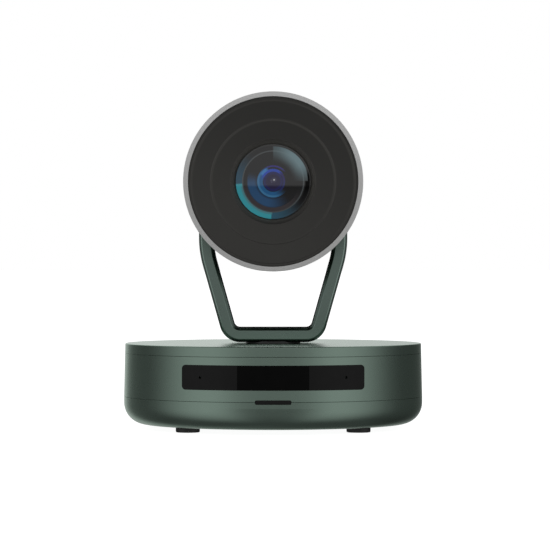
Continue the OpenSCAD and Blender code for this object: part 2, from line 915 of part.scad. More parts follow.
module head_shell() {
    color("#4f5d55") difference() {
        intersection() {
            head_form(0, ring_l - front_y);
            translate([-60, -60, tilt_z - 60]) cube([120, 60 + split_y - seam / 2, 120]);
        }
        head_form(head_wall, -front_y - 10);
        for (s = [0, 1]) {
            mirror([s, 0, 0]) about_x() cylinder(r = 8.02, h = 60);
        }
    }
}

module rear_cover() {
    color("#4f5d55") difference() {
        intersection() {
            head_form(0, 0);
            translate([-60, split_y + seam / 2, tilt_z - 60]) cube([120, 60, 120]);
        }
        head_form(head_wall, -front_y - 10);
        for (i = [-2:2]) {
            translate([-11, 0, tilt_z + i * 3.6 - 0.8]) cube([22, 60, 1.6]);
        }
        for (sx = [-1, 1], sz = [-1, 1]) {
            translate([sx * 15, rear_y - 1.4, tilt_z + sz * 15]) rotate([-90, 0, 0]) cylinder(r = 2.1, h = 5);
            translate([sx * 15, 20, tilt_z + sz * 15]) rotate([-90, 0, 0]) cylinder(r = 1.2, h = 30);
        }
    }
}

module front_ring() {
    r_in = disc_r + 0.12;
    edge = 0.4;
    color("#9a9a98") about_y() rotate_extrude() {
        translate([r_in, edge - front_y]) square([ring_r - r_in, ring_l - edge - 0.02]);
        translate([r_in + edge, -front_y]) square([ring_r - r_in - 2 * edge, ring_l - 0.02]);
        for (r = [r_in + edge, ring_r - edge]) {
            translate([r, edge - front_y]) circle(edge);
        }
    }
}

module lens_bezel() {
    back = ring_l - front_y - 0.2;
    color("#302f2e") about_y() rotate_extrude() polygon([
        [disc_r, 0.45 - front_y], [39, 0.45 - front_y], [38.6, 0.85 - front_y], [29.8, 1.05 - front_y],
        [29.4, 1.45 - front_y], [20.1, 1.65 - front_y], [19.7, 2.05 - front_y],
        [glass_r + 0.15, 2.15 - front_y], [glass_r + 0.15, back], [disc_r, back]
    ]);
}

module front_glass() {
    back = ring_l - front_y - 0.22;
    rim = 1.9;
    apex = back - rim - glass_rise;
    dome_r = (glass_r * glass_r + glass_rise * glass_rise) / (2 * glass_rise);
    color("#3a5a66", 0.5) about_y() rotate_extrude() intersection() {
        translate([0, apex + dome_r]) circle(dome_r, $fn = 720);
        translate([0, apex - 1]) square([glass_r, back - apex + 1]);
    }
}

module lens_trim_ring() {
    color("#8c9296") about_y() translate([0, 0, ring_l - front_y - 0.15]) tube(trim_r, trim_r - 0.6, 0.7);
}

module lens_barrel() {
    front = ring_l - front_y - 0.15;
    color("#101011") about_y() rotate_extrude() polygon([
        [19.4, front], [trim_r + 0.05, front], [trim_r + 0.05, front + 0.75], [trim_r - 0.9, front + 0.75],
        [objective_r + 0.1, front + 2], [objective_r + 0.1, front + 5.4], [inner_lens_r + 0.05, front + 5.4],
        [inner_lens_r + 0.05, front + 9.4], [barrel_r - 2, front + 9.4], [barrel_r - 2, block_front],
        [barrel_r, block_front], [barrel_r, front + 1.5], [19.4, front + 1.5]
    ]);
}

// Lens with a domed front, its rim from y = apex + rise to y = back
module domed_lens(r, apex, rise, back) {
    dome_r = (r * r + rise * rise) / (2 * rise);
    about_y() rotate_extrude() intersection() {
        translate([0, apex + dome_r]) circle(dome_r, $fn = 360);
        translate([0, apex - 1]) square([r, back - apex + 1]);
    }
}

module objective_lens() {
    front = ring_l - front_y;
    color("#33506e", 0.6) domed_lens(objective_r, front + 0.9, 2.4, front + 4.6);
}

module inner_lens() {
    front = ring_l - front_y;
    color("#4a4290", 0.6) domed_lens(inner_lens_r, front + 5, 1.4, front + 8.6);
}

module zoom_block() {
    color("#1d1e20") difference() {
        union() {
            translate([-block_x, block_front, tilt_z - block_z])
                cube([2 * block_x, block_rear - block_front, 2 * block_z]);
            translate([10.2, -9, tilt_z + block_z - 1]) cube([1.4, 18, 16]);
        }
        about_y() translate([0, 0, block_front - 1])
            cylinder(r = block_bore, h = block_rear - block_front - 3);
        about_y() cylinder(r = 7, h = 60);
        translate([0, 0, tilt_motor_rise]) about_x() cylinder(r = 3.1, h = 40);
    }
}

module guide_rods() {
    color("#c4c8cc") about_y() for (s = [-1, 1]) {
        translate([s * rod_x, 0, block_front + 0.05]) cylinder(r = rod_r, h = block_rear - block_front - 4.1);
    }
}

module lens_motors() {
    color("#8d9297") about_y() for (s = [-1, 1]) {
        translate([s * 8, block_z + 4.1, -6]) cylinder(r = 4, h = 12);
        translate([s * 8, block_z + 4.1, -22]) cylinder(r = 0.8, h = 17);
    }
}

module sensor_board() {
    color("#1f5a3c") translate([-17, block_rear + 0.1, tilt_z - 16]) {
        cube([34, 1.6, 32]);
        translate([12, -4, 12]) cube([10, 4.5, 8]);
    }
}

module tilt_bearings() {
    color("#c8ccd0") for (s = [0, 1]) {
        mirror([s, 0, 0]) about_x() translate([0, 0, bearing_x]) {
            tube(8, shaft_r + 0.06, flat_x - bearing_x);
            tube(9.2, shaft_r + 0.06, flat_x - head_wall - bearing_x - 0.05);
        }
    }
}

module tilt_motor() {
    color("#8d9297") translate([0, 0, tilt_motor_rise]) about_x() difference() {
        union() {
            translate([0, 0, -13]) cylinder(r = tilt_motor_r, h = 23.1);
            cylinder(r = 3, h = 12);
        }
        translate([0, 0, 4]) cylinder(r = 1.1, h = 20);
    }
}

module tilt_belt() {
    w = tilt_pulley_w - 1.2;
    r1 = tilt_pulley_r + belt_clearance;
    r2 = tilt_pinion_r + belt_clearance;
    color("#1a1a1a") about_x() translate([0, 0, tilt_belt_x - w / 2]) rotate([0, 0, 180])
        belt_loop(r1, r2, tilt_motor_rise, w);
}

module head_screws() {
    color("#3a3a3c") for (sx = [-1, 1], sz = [-1, 1]) {
        translate([sx * 15, rear_y - 0.3, tilt_z + sz * 15]) rotate([90, 0, 0]) screw_up(2, 1, 1.1, 8);
    }
}

// ---------------------------------------------------------------- moving pieces in the head

module tilt_motor_pulley() {
    color("#9da1a6") translate([0, 0, tilt_motor_rise]) about_x() {
        translate([0, 0, tilt_belt_x - tilt_pulley_w / 2])
            flanged_pulley(tilt_pinion_r, tilt_pulley_w, belt_t - 0.2, 0.4, 0.9);
        translate([0, 0, 5]) cylinder(r = 1, h = tilt_belt_x + tilt_pulley_w / 2 - 4.6);
    }
}

// Lens carrier that slides on the two guide rods
module carrier(r, lens_r, y0, t) {
    about_y() translate([0, 0, y0]) {
        difference() {
            cylinder(r = r, h = t);
            for (s = [-1, 1]) {
                translate([s * rod_x, 0, -1]) cylinder(r = rod_r + 0.06, h = t + 2);
            }
            translate([0, 0, t - 1]) cylinder(r = lens_r, h = 2);
        }
    }
}

module zoom_carrier() {
    color("#3a3c40") carrier(14.6, 6, -24, 5);
}

module focus_carrier() {
    color("#3a3c40") carrier(14.6, 5, -4, 4);
}

base_tray();
base_band();
top_cover();
front_panel();
ir_window();
status_light();
rubber_feet();
tripod_insert();
chassis_plate();
mainboard();
heat_sink();
rear_panel();
lan_port();
hdmi_port();
usb_port();
power_inlet();
audio_jack();
pan_motor();
pan_motor_bracket();
pan_bearing_plate();
pan_bearing_outer();
pan_belt();
ir_receiver_board();
mic_capsules();
base_screws();
reset_button();
pan_motor_pulley();
pan_spindle();
pan_bearing_inner();
pan_pulley();
neck_collar();
yoke_frame();
yoke_liner();
yoke_screws();
turret_cable();
tilt_hubs();
tilt_fixed_pulley();
hub_covers();
hub_screws();
pivot_caps();
head_shell();
rear_cover();
front_ring();
lens_bezel();
front_glass();
lens_trim_ring();
lens_barrel();
objective_lens();
inner_lens();
zoom_block();
guide_rods();
lens_motors();
sensor_board();
tilt_bearings();
tilt_motor();
tilt_belt();
head_screws();
tilt_motor_pulley();
zoom_carrier();
focus_carrier();
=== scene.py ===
"""Looks of the pan-tilt-zoom camera: finer housings, materials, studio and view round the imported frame."""
import json
import math

import bmesh
import bpy
from mathutils import Matrix, Vector


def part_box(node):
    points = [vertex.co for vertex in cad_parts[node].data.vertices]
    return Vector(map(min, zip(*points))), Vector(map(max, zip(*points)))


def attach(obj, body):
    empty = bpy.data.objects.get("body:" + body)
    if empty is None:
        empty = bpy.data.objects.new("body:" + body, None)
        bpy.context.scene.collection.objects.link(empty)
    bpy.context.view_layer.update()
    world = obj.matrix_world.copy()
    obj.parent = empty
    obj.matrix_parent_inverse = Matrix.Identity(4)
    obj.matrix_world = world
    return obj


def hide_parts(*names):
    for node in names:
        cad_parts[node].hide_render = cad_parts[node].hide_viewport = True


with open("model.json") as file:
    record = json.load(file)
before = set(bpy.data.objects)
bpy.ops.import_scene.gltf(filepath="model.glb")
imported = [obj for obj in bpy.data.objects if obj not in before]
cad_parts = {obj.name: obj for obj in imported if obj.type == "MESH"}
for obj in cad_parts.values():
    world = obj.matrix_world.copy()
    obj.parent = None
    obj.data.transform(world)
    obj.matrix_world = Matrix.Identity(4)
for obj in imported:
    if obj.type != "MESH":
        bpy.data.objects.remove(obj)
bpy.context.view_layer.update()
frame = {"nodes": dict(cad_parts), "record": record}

# ---------------------------------------------------------------- sizes taken from the frame, in metres

MM = 0.001
TURNS = 384  # steps round a large turned piece
HEAD_TURNS = 256
FINE_TURNS = 96
SHARP_ANGLE = math.radians(32)
BEVEL_ANGLE = math.radians(50)
FLAT_ANGLE = math.radians(1)
MERGE_DISTANCE = 1e-7
WELD_DISTANCE = 1e-6
HOUSING_EDGE = 0.15 * MM
SEAM = 0.3 * MM  # the CAD's gap between two shells, and the narrower one that is seen
SEAM_SEEN = 0.09 * MM
SHELL_T = 2.9 * MM
FLOOR_T = 2.4 * MM
FILLET = 10.3 * MM
LIP_T = 1.2 * MM
LIP_GAP = 0.15 * MM

band_lo, band_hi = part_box("base_band")
cover_lo, cover_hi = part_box("top_cover")
tray_lo, tray_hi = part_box("base_tray")
ring_lo, ring_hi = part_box("front_ring")
yoke_lo, yoke_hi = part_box("yoke_frame")
shell_lo, shell_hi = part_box("head_shell")
rear_lo, rear_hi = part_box("rear_cover")
panel_lo, panel_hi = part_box("front_panel")
neck_lo, neck_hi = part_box("neck_collar")

BASE_R = band_hi.x
TOP_Z = cover_hi.z
COVER_Z = band_hi.z + SEAM
HIGH_SEAM_Z = band_hi.z + SEAM / 2
LOW_SEAM_Z = band_lo.z - SEAM / 2
TAPER = (band_hi.x - cover_hi.x) / (COVER_Z - band_lo.z)
IN_R = BASE_R - SHELL_T
LIP_R = IN_R - LIP_GAP
TILT_Z = (ring_lo.z + ring_hi.z) / 2
HEAD_R = (shell_hi.z - shell_lo.z) / 2
PANEL_Z = (panel_lo.z + panel_hi.z) / 2


def base_side(z):
    """Radius of the base's side at height z."""
    return BASE_R - max(0.0, z - band_lo.z) * TAPER


# ---------------------------------------------------------------- mesh helpers


def corner_arc(a, b, c, r, steps, rest=0.0):
    """Arc that rounds corner b between a and c. With rest, a further point that far along each side keeps
    the side's shading flat."""
    a, b, c = Vector(a), Vector(b), Vector(c)
    u, v = (a - b).normalized(), (c - b).normalized()
    half = u.angle(v) / 2
    centre = b + (u + v).normalized() * r / math.sin(half)
    first = b + u * r / math.tan(half) - centre
    last = b + v * r / math.tan(half) - centre
    turn = first.angle_signed(last)
    start = math.atan2(first.y, first.x)
    angles = [start - turn * k / steps for k in range(steps + 1)]
    arc = [(centre.x + r * math.cos(angle), centre.y + r * math.sin(angle)) for angle in angles]
    if rest:
        arc = [tuple(centre + first + u * rest), *arc, tuple(centre + last + v * rest)]
    return arc


def rounded(points, steps=5, rest=0.0):
    """Outline through points (a, b, radius), each corner rounded by its radius."""
    out = []
    for i, (a, b, r) in enumerate(points):
        before, after = points[i - 1][:2], points[(i + 1) % len(points)][:2]
        out += corner_arc(before, (a, b), after, r, steps, rest) if r > 0 else [(a, b)]
    return out


def finish_mesh(mesh):
    """Smooth shading, broken at edges sharper than SHARP_ANGLE."""
    mesh.validate()
    for p in mesh.polygons:
        p.use_smooth = True
    mesh.set_sharp_from_angle(angle=SHARP_ANGLE)


def make_object(name, verts, faces):
    """Mesh object with merged corners and outward normals."""
    mesh = bpy.data.meshes.new(name)
    mesh.from_pydata([tuple(v) for v in verts], [], faces)
    bm = bmesh.new()
    bm.from_mesh(mesh)
    bmesh.ops.remove_doubles(bm, verts=bm.verts, dist=MERGE_DISTANCE)
    bmesh.ops.dissolve_degenerate(bm, edges=bm.edges, dist=MERGE_DISTANCE / 10)
    bmesh.ops.recalc_face_normals(bm, faces=bm.faces)
    bm.to_mesh(mesh)
    bm.free()
    finish_mesh(mesh)
    ob = bpy.data.objects.new(name, mesh)
    bpy.context.scene.collection.objects.link(ob)
    return ob


def grid_faces(rows, columns, close_rows=False, close_columns=False):
    """Quads of a grid whose corners are numbered row by row."""
    faces = []
    for i in range(rows if close_rows else rows - 1):
        for j in range(columns if close_columns else columns - 1):
            i2, j2 = (i + 1) % rows, (j + 1) % columns
            faces.append((i * columns + j, i * columns + j2, i2 * columns + j2, i2 * columns + j))
    return faces


def lathe(name, outline, closed=True, turns=TURNS, about="z", at=(0, 0, 0)):
    """Outline (radius, height) turned about Z, or about a line along Y with its heights along +Y."""
    verts = []
    for i in range(turns):
        c, s = math.cos(2 * math.pi * i / turns), math.sin(2 * math.pi * i / turns)
        for r, h in outline:
            if about == "z":
                verts.append((at[0] + r * c, at[1] + r * s, at[2] + h))
            else:
                verts.append((at[0] + r * c, at[1] + h, at[2] + r * s))
    return make_object(name, verts, grid_faces(turns, len(outline), True, closed))


def joined(name, obs):
    """Objects joined into one piece."""
    bpy.ops.object.select_all(action="DESELECT")
    for ob in obs:
        ob.select_set(True)
    bpy.context.view_layer.objects.active = obs[0]
    bpy.ops.object.join()
    obs[0].name = name
    return obs[0]


def box_cutter(lo, hi):
    """Plain box used only to cut another mesh."""
    verts = [(x, y, z) for x in (lo[0], hi[0]) for y in (lo[1], hi[1]) for z in (lo[2], hi[2])]
    faces = [(0, 1, 3, 2), (4, 6, 7, 5), (0, 4, 5, 1), (2, 3, 7, 6), (0, 2, 6, 4), (1, 5, 7, 3)]
    return make_object("cutter", verts, faces)


def rod_cutter(r, start, end, turns=64):
    """Plain rod between two points, used only to cut another mesh."""
    start, end = Vector(start), Vector(end)
    turn = Vector((0, 0, 1)).rotation_difference(end - start).to_matrix()
    verts = []
    for at in (start, end):
        for i in range(turns):
            a = 2 * math.pi * i / turns
            verts.append(at + turn @ Vector((r * math.cos(a), r * math.sin(a), 0)))
    faces = [(i, (i + 1) % turns, turns + (i + 1) % turns, turns + i) for i in range(turns)]
    faces += [tuple(range(turns)), tuple(range(2 * turns - 1, turns - 1, -1))]
    return make_object("cutter", verts, faces)


def cut(ob, cutters):
    """Cuts the cutters out of a piece."""
    for cutter in cutters:
        mod = ob.modifiers.new("cut", "BOOLEAN")
        mod.object = cutter
        mod.solver = "EXACT"
    graph = bpy.context.evaluated_depsgraph_get()
    mesh = bpy.data.meshes.new_from_object(ob.evaluated_get(graph))
    ob.modifiers.clear()
    ob.data = mesh
    finish_mesh(mesh)
    for cutter in cutters:
        bpy.data.objects.remove(cutter)


def bevel(ob, width):
    """Small rounded edges, with even shading on the faces beside them."""
    mod = ob.modifiers.new("edges", "BEVEL")
    mod.width = width
    mod.segments = 2
    mod.limit_method = "ANGLE"
    mod.angle_limit = BEVEL_ANGLE
    ob.modifiers.new("shading", "WEIGHTED_NORMAL").keep_sharp = True


def softened_node(name, width):
    """A CAD node that keeps its shape and gets small rounded edges."""
    ob = frame["nodes"][name]
    ob.modifiers.new("weld", "WELD").merge_threshold = WELD_DISTANCE
    flat = ob.modifiers.new("flat", "DECIMATE")
    flat.decimate_type = "DISSOLVE"
    flat.angle_limit = FLAT_ANGLE
    bevel(ob, width)


def settle(ob, body, slot, *nodes):
    """Puts a finished piece on its body, in its material slot, in place of its CAD nodes."""
    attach(ob, body)
    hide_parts(*nodes)
    ob.data.materials.clear()
    ob.data.materials.append(MATERIALS[slot])


# ---------------------------------------------------------------- materials


class Graph:
    """Short way to write a material's nodes."""

    def __init__(self, name, kind="material"):
        self.owner = (bpy.data.worlds if kind == "world" else bpy.data.materials).new(name)
        self.owner.use_nodes = True
        self.tree = self.owner.node_tree
        self.shader = self.tree.nodes["Background" if kind == "world" else "Principled BSDF"]
        self.where = self.node("ShaderNodeTexCoord").outputs["Generated" if kind == "world" else "Object"]

    def place(self):
        """X, Y and Z of the shaded point, or of the world's direction."""
        split = self.node("ShaderNodeSeparateXYZ")
        self.put(self.where, split.inputs[0])
        return split.outputs

    def node(self, kind, **settings):
        made = self.tree.nodes.new(kind)
        for key, value in settings.items():
            setattr(made, key, value)
        return made

    def put(self, value, socket):
        if isinstance(value, bpy.types.NodeSocket):
            self.tree.links.new(value, socket)
        else:
            socket.default_value = value

    def math(self, operation, a, b=0.0):
        made = self.node("ShaderNodeMath", operation=operation)
        self.put(a, made.inputs[0])
        self.put(b, made.inputs[1])
        return made.outputs[0]

    def times(self, a, *factors):
        """Product of two or more values."""
        for factor in factors:
            a = self.math("MULTIPLY", a, factor)
        return a

    def length(self, a, b):
        """Length of the line whose two components are a and b."""
        return self.math("SQRT", self.math("ADD", self.times(a, a), self.times(b, b)))

    def mix(self, factor, a, b):
        made = self.node("ShaderNodeMix", data_type="RGBA")
        self.put(factor, made.inputs["Factor"])
        self.put(a, made.inputs[6])
        self.put(b, made.inputs[7])
        return made.outputs[2]

    def fade(self, value, low, high, to_low=0.0, to_high=1.0):
        """Smooth step of value from low to high."""
        made = self.node("ShaderNodeMapRange", interpolation_type="SMOOTHSTEP")
        self.put(value, made.inputs[0])
        for socket, number in zip(made.inputs[1:5], (low, high, to_low, to_high)):
            socket.default_value = number
        return made.outputs[0]

    def band(self, value, low, high, soft_low, soft_high):
        """1 between low and high, fading out over the two soft widths."""
        rise = self.fade(value, low - soft_low / 2, low + soft_low / 2)
        fall = self.fade(value, high - soft_high / 2, high + soft_high / 2, 1.0, 0.0)
        return self.times(rise, fall)

    def noise(self, scale, detail=2.0, rough=0.5, where=None):
        made = self.node("ShaderNodeTexNoise")
        self.put(where or self.where, made.inputs["Vector"])
        made.inputs["Scale"].default_value = scale
        made.inputs["Detail"].default_value = detail
        made.inputs["Roughness"].default_value = rough
        return made.outputs["Fac"]

    def bump(self, height, strength, distance):
        made = self.node("ShaderNodeBump")
        made.inputs["Strength"].default_value = strength
        made.inputs["Distance"].default_value = distance
        self.put(height, made.inputs["Height"])
        return made.outputs[0]

    def set(self, **sockets):
        for key, value in sockets.items():
            self.put(value, self.shader.inputs[key.replace("_", " ")])
        return self.owner

    def ramp(self, value, low, high, stops):
        """Brightness read off stops (value, brightness) between low and high."""
        share = self.fade(value, low, high)
        share.node.interpolation_type = "LINEAR"
        made = self.node("ShaderNodeValToRGB")
        self.put(share, made.inputs[0])
        points = made.color_ramp.elements
        while len(points) < len(stops):
            points.new(0.5)
        for point, (at, shade) in zip(points, stops):
            point.position = (at - low) / (high - low)
            point.color = grey(shade)
        return made.outputs[0]


FLAKE_SCALE = 3600
FLAKE_GAIN = 0.012
PAINT_ROUGHNESS = 0.28
ROUGHNESS_SPREAD = 0.015
TOP_ROUGHNESS = 0.19
PAINT_EDGE_TINT = (0.90, 1.0, 0.93, 1)

# Looks round the lens's axis, with lengths in millimetres and angles in degrees.
RING_REACH = 42
TURNING_PITCH = 0.35
# Painted highlights on the edges of the disc's steps, dimmer towards the bottom, each (inner radius, outer
# radius, gain), and the painted highlight next to the glass, which isn't dimmer there.
STEP_HIGHLIGHTS = ((38.0, 39.2, 1.6), (28.7, 29.9, 1.75), (18.5, 20.3, 1.8))
GLASS_EDGE_HIGHLIGHT = (17.0, 18.9)
GLASS_EDGE_HIGHLIGHT_GAIN = 3.2
BARREL_SEEN = (0.005, 0.005, 0.006, 1)
WINDOW_LIGHT = (0.225, 0.352, 0.388, 1)
# Painted reflections of the coatings, and painted rings of the barrel and lens behind the glass: colour,
# inner and outer radius, and their soft widths. A crescent adds the angles it starts and ends at, and their
# soft widths.
PAINTED_REFLECTIONS_AND_RINGS = (
    ((0.045, 0.036, 0.042), 12.3, 14.2, 0.2, 0.2, 190, 320, 8, 60),
    ((0.070, 0.080, 0.085), 14.15, 14.75, 0.25, 0.2),
    ((0.024, 0.024, 0.024), 17.0, 18.0, 0.3, 0.1),
    ((0.004, 0.075, 0.135), 14.7, 17.8, 0.3, 0.1, 152, 186, 60, 4),
    ((0.018, 0.110, 0.180), 14.7, 17.8, 0.3, 0.1, 230, 296, 8, 66),
    ((0.036, 0.400, 0.475), 14.7, 17.8, 0.3, 0.1, 184, 267, 3, 2),
    ((0.080, 0.270, 0.310), 14.7, 15.5, 0.3, 0.8, 188, 268, 10, 4),
    ((0.017, 0.084, 0.205), 8.0, 12.2, 2.2, 0.9, 172, 284, 36, 66),
    ((0.010, 0.125, 0.320), 4.9, 7.6, 0.5, 0.35, 130, 300, 60, 60),
    ((0.045, 0.210, 0.420), 6.6, 7.5, 0.5, 0.3, 150, 290, 40, 50),
    ((0.018, 0.075, 0.540), 4.6, 5.95, 0.4, 0.5, 44, 160, 30, 40),
    ((0.035, 0.026, 0.270), 6.9, 7.6, 0.4, 0.4, 46, 118, 24, 30),
    ((0.050, 0.250, 0.640), 5.7, 7.1, 0.5, 0.6, 116, 150, 16, 14),
    ((0.020, 0.014, 0.150), 4.8, 5.7, 0.4, 0.4, -1, 50, 1, 30),
    ((0.014, 0.022, 0.150), 4.8, 5.7, 0.4, 0.4, 306, 361, 30, 1),
    ((0.011, 0.012, 0.120), -1, 4.6, 1, 0.5),
    ((0.016, 0.009, 0.062), -1, 3.5, 1, 0.8),
)
# Glints: colour, place across and above the axis, the distances over which it fades, and its strength.
GLINTS = (
    ((0.8, 0.8, 1.0), -0.95, 0.45, 0.1, 0.6, 0.10),
    ((0.8, 0.8, 1.0), -0.75, -0.40, 0.1, 0.6, 0.07),
    ((1.0, 1.0, 1.0), 0.45, 0.75, 0.2, 1.6, 0.07),
    ((0.95, 0.95, 1.0), 0.45, 0.75, 0.1, 0.5, 1.0),
)


def tinted(colour, factor):
    return tuple(c * factor for c in colour[:3]) + (1.0,)


def grey(value):
    return (value, value, value, 1.0)


def painted_metal(name, colour):
    """Metallic paint: fine flakes and a faint cloudiness, and a smoother flat top on the base."""
    g = Graph(name)
    flakes = g.node("ShaderNodeTexVoronoi")
    g.put(g.where, flakes.inputs["Vector"])
    flakes.inputs["Scale"].default_value = FLAKE_SCALE
    spark = g.fade(flakes.outputs["Color"], 0.25, 0.85)
    cloud = g.fade(g.noise(scale=45, detail=3), 0.3, 0.7)
    flaked = g.mix(spark, tinted(colour, 1 - FLAKE_GAIN), tinted(colour, 1 + FLAKE_GAIN))
    base = g.mix(g.times(cloud, 0.5), flaked, tinted(colour, 0.96))
    rough = g.noise(scale=160)
    rough = g.fade(rough, 0.2, 0.8, PAINT_ROUGHNESS - ROUGHNESS_SPREAD, PAINT_ROUGHNESS + ROUGHNESS_SPREAD)
    on_top = g.band(g.place()["Z"], TOP_Z - 0.03 * MM, TOP_Z + 0.2 * MM, 0.1 * MM, 0.1 * MM)
    rough = g.mix(on_top, rough, grey(TOP_ROUGHNESS))
    return g.set(Base_Color=base, Metallic=1.0, Roughness=rough, Specular_Tint=PAINT_EDGE_TINT)


def moulded_plastic(name, colour, roughness, grain=0.12, grain_scale=1800, specular=0.5):
    """Moulded plastic or rubber: spark-eroded grain and slightly uneven gloss."""
    g = Graph(name)
    tone = g.fade(g.noise(scale=70, detail=3), 0.3, 0.7)
    base = g.mix(tone, tinted(colour, 0.93), tinted(colour, 1.08))
    rough = g.fade(g.noise(scale=220), 0.25, 0.75, roughness - 0.03, roughness + 0.04)
    bumps = g.bump(g.noise(grain_scale, rough=0.6), grain, 0.06 * MM)
    return g.set(Base_Color=base, Roughness=rough, Specular_IOR_Level=specular, Normal=bumps)


def worked_metal(name, colour, roughness, streak=(1, 1, 1)):
    """Bare metal whose fine marks are squeezed along each axis by its streak."""
    g = Graph(name)
    stretch = g.node("ShaderNodeMapping")
    g.put(g.where, stretch.inputs["Vector"])
    stretch.inputs["Scale"].default_value = streak
    marks = g.noise(scale=900, detail=3, rough=0.65, where=stretch.outputs[0])
    base = g.mix(g.fade(marks, 0.3, 0.7), tinted(colour, 0.92), tinted(colour, 1.06))
    rough = g.fade(marks, 0.2, 0.8, roughness - 0.04, roughness + 0.05)
    return g.set(Base_Color=base, Metallic=1.0, Roughness=rough, Normal=g.bump(marks, 0.1, 0.05 * MM))


def lens_polar(g):
    """Distance from the lens's axis, angle from +X, and the place across and above it, in millimetres and
    degrees."""
    where = g.place()
    x = g.times(where["X"], 1 / MM)
    z = g.times(g.math("SUBTRACT", where["Z"], TILT_Z), 1 / MM)
    angle = g.times(g.math("ARCTAN2", z, x), 180 / math.pi)
    return g.length(x, z), g.math("MODULO", g.math("ADD", angle, 360), 360), x, z


def ring_metal(name, top, bottom):
    """Blasted silver ring, with painted shade that makes it a little darker towards its lowest point."""
    g = Graph(name)
    *_, z = lens_polar(g)
    grain = g.noise(scale=2600, detail=3, rough=0.65)
    # Painted shade: the colour goes from the top colour down to the darker bottom colour.
    painted_light_share = g.fade(z, -RING_REACH, RING_REACH)
    base = g.mix(painted_light_share, bottom, top)
    base = g.mix(g.fade(grain, 0.3, 0.7), base, g.mix(painted_light_share, tinted(bottom, 1.05), tinted(top, 1.05)))
    rough = g.fade(grain, 0.2, 0.8, 0.50, 0.58)
    return g.set(Base_Color=base, Metallic=0.5, Roughness=rough, Normal=g.bump(grain, 0.04, 0.02 * MM))


def turned_disc(name, colour, roughness):
    """Satin anthracite with faint turning marks round the lens's axis, painted light that makes it brighter
    towards the lower left, and painted highlights on the edges of its steps.
    """
    g = Graph(name)
    r, _, x, z = lens_polar(g)
    rings = g.math("SINE", g.times(r, 2 * math.pi / TURNING_PITCH))
    tone = g.fade(g.noise(scale=30, detail=3), 0.3, 0.7)
    # Painted light: brighter towards the lower left, darker towards the upper right.
    painted_light_slant = g.math("ADD", g.times(x, 0.5), g.times(z, 0.87))
    base = g.mix(g.fade(painted_light_slant, -40, 40), tinted(colour, 1.40), tinted(colour, 0.88))
    base = g.mix(g.times(tone, 0.25), base, tinted(colour, 1.1))
    # Painted highlights on the steps' edges, fading towards the bottom, and one next to the glass.
    lit = g.fade(z, -40, 8)
    for low, high, gain in STEP_HIGHLIGHTS:
        base = g.mix(g.times(lit, g.band(r, low, high, 0.5, 0.5)), base, tinted(colour, gain))
    base = g.mix(g.band(r, *GLASS_EDGE_HIGHLIGHT, 0.1, 0.7), base, tinted(colour, GLASS_EDGE_HIGHLIGHT_GAIN))
    fine = g.math("ADD", g.times(rings, 0.25), g.noise(scale=2200, rough=0.6))
    rough = g.fade(g.noise(scale=180), 0.2, 0.8, roughness - 0.02, roughness + 0.03)
    return g.set(Base_Color=base, Metallic=0.35, Roughness=rough, Normal=g.bump(fine, 0.05, 0.04 * MM))


def pale_quarter(g, r, turn):
    """Soft window light in the upper right quarter of the lens."""
    along = g.times(g.fade(turn, -4, 36, 0.10, 1.0), g.fade(turn, 50, 94, 1.0, 0.30))
    pale = g.times(g.fade(r, 8.6, 15.6), g.fade(r, 16.35, 16.95, 1.0, 0.0), along)
    return g.times(pale, g.band(turn, 1, 90, 3, 2), 0.92)


def rim_shade(g, r, turn):
    """Painted shade: a black stretch of the lens's rim at its right, just above and below the middle."""
    beside = g.times(g.band(r, 15.2, 17.4, 0.8, 0.3), g.band(turn, -42, 1, 40, 2))
    above = g.times(g.band(r, 16.4, 17.4, 0.4, 0.3), g.band(turn, 0, 16, 2, 16))
    return g.math("MAXIMUM", g.times(beside, g.fade(turn, -30, -4, 0.6, 0.95)), above)


def painted_lens_reflections(name):
    """Lens over a black barrel, with painted reflections: the crescents and rings that its coatings throw
    back round its axis.
    """
    g = Graph(name)
    r, angle, x, z = lens_polar(g)
    colour = BARREL_SEEN
    # Painted reflections of the coatings, and the barrel and lens behind, laid on one by one.
    for tint, low, high, soft_low, soft_high, *arc in PAINTED_REFLECTIONS_AND_RINGS:
        mask = g.band(r, low, high, soft_low, soft_high)
        if arc:
            mask = g.times(mask, g.band(angle, *arc))
        colour = g.mix(mask, colour, (*tint, 1))
    turn = g.math("SUBTRACT", g.math("MODULO", g.math("ADD", angle, 180), 360), 180)
    shade = rim_shade(g, r, turn)
    colour = g.mix(pale_quarter(g, r, turn), colour, WINDOW_LIGHT)
    # Painted shade on the rim, nearly black.
    colour = g.mix(shade, colour, grey(0.001))
    for tint, at_x, at_z, low, high, strength in GLINTS:
        away = g.length(g.math("SUBTRACT", x, at_x), g.math("SUBTRACT", z, at_z))
        colour = g.mix(g.fade(away, low, high, strength, 0.0), colour, (*tint, 1))
    sheen = g.mix(shade, grey(0.77), grey(0.06))
    return g.set(Base_Color=colour, Roughness=0.02, Specular_IOR_Level=sheen)


def board_material(name):
    """Circuit board: green mask over copper tracks."""
    g = Graph(name)
    tracks = g.node("ShaderNodeTexBrick")
    g.put(g.where, tracks.inputs["Vector"])
    tracks.inputs["Scale"].default_value = 260
    tracks.inputs["Mortar Size"].default_value = 0.06
    base = g.mix(tracks.outputs["Fac"], (0.012, 0.10, 0.045, 1), (0.02, 0.17, 0.08, 1))
    return g.set(Base_Color=base, Roughness=0.35, Normal=g.bump(tracks.outputs["Fac"], 0.3, 0.03 * MM))


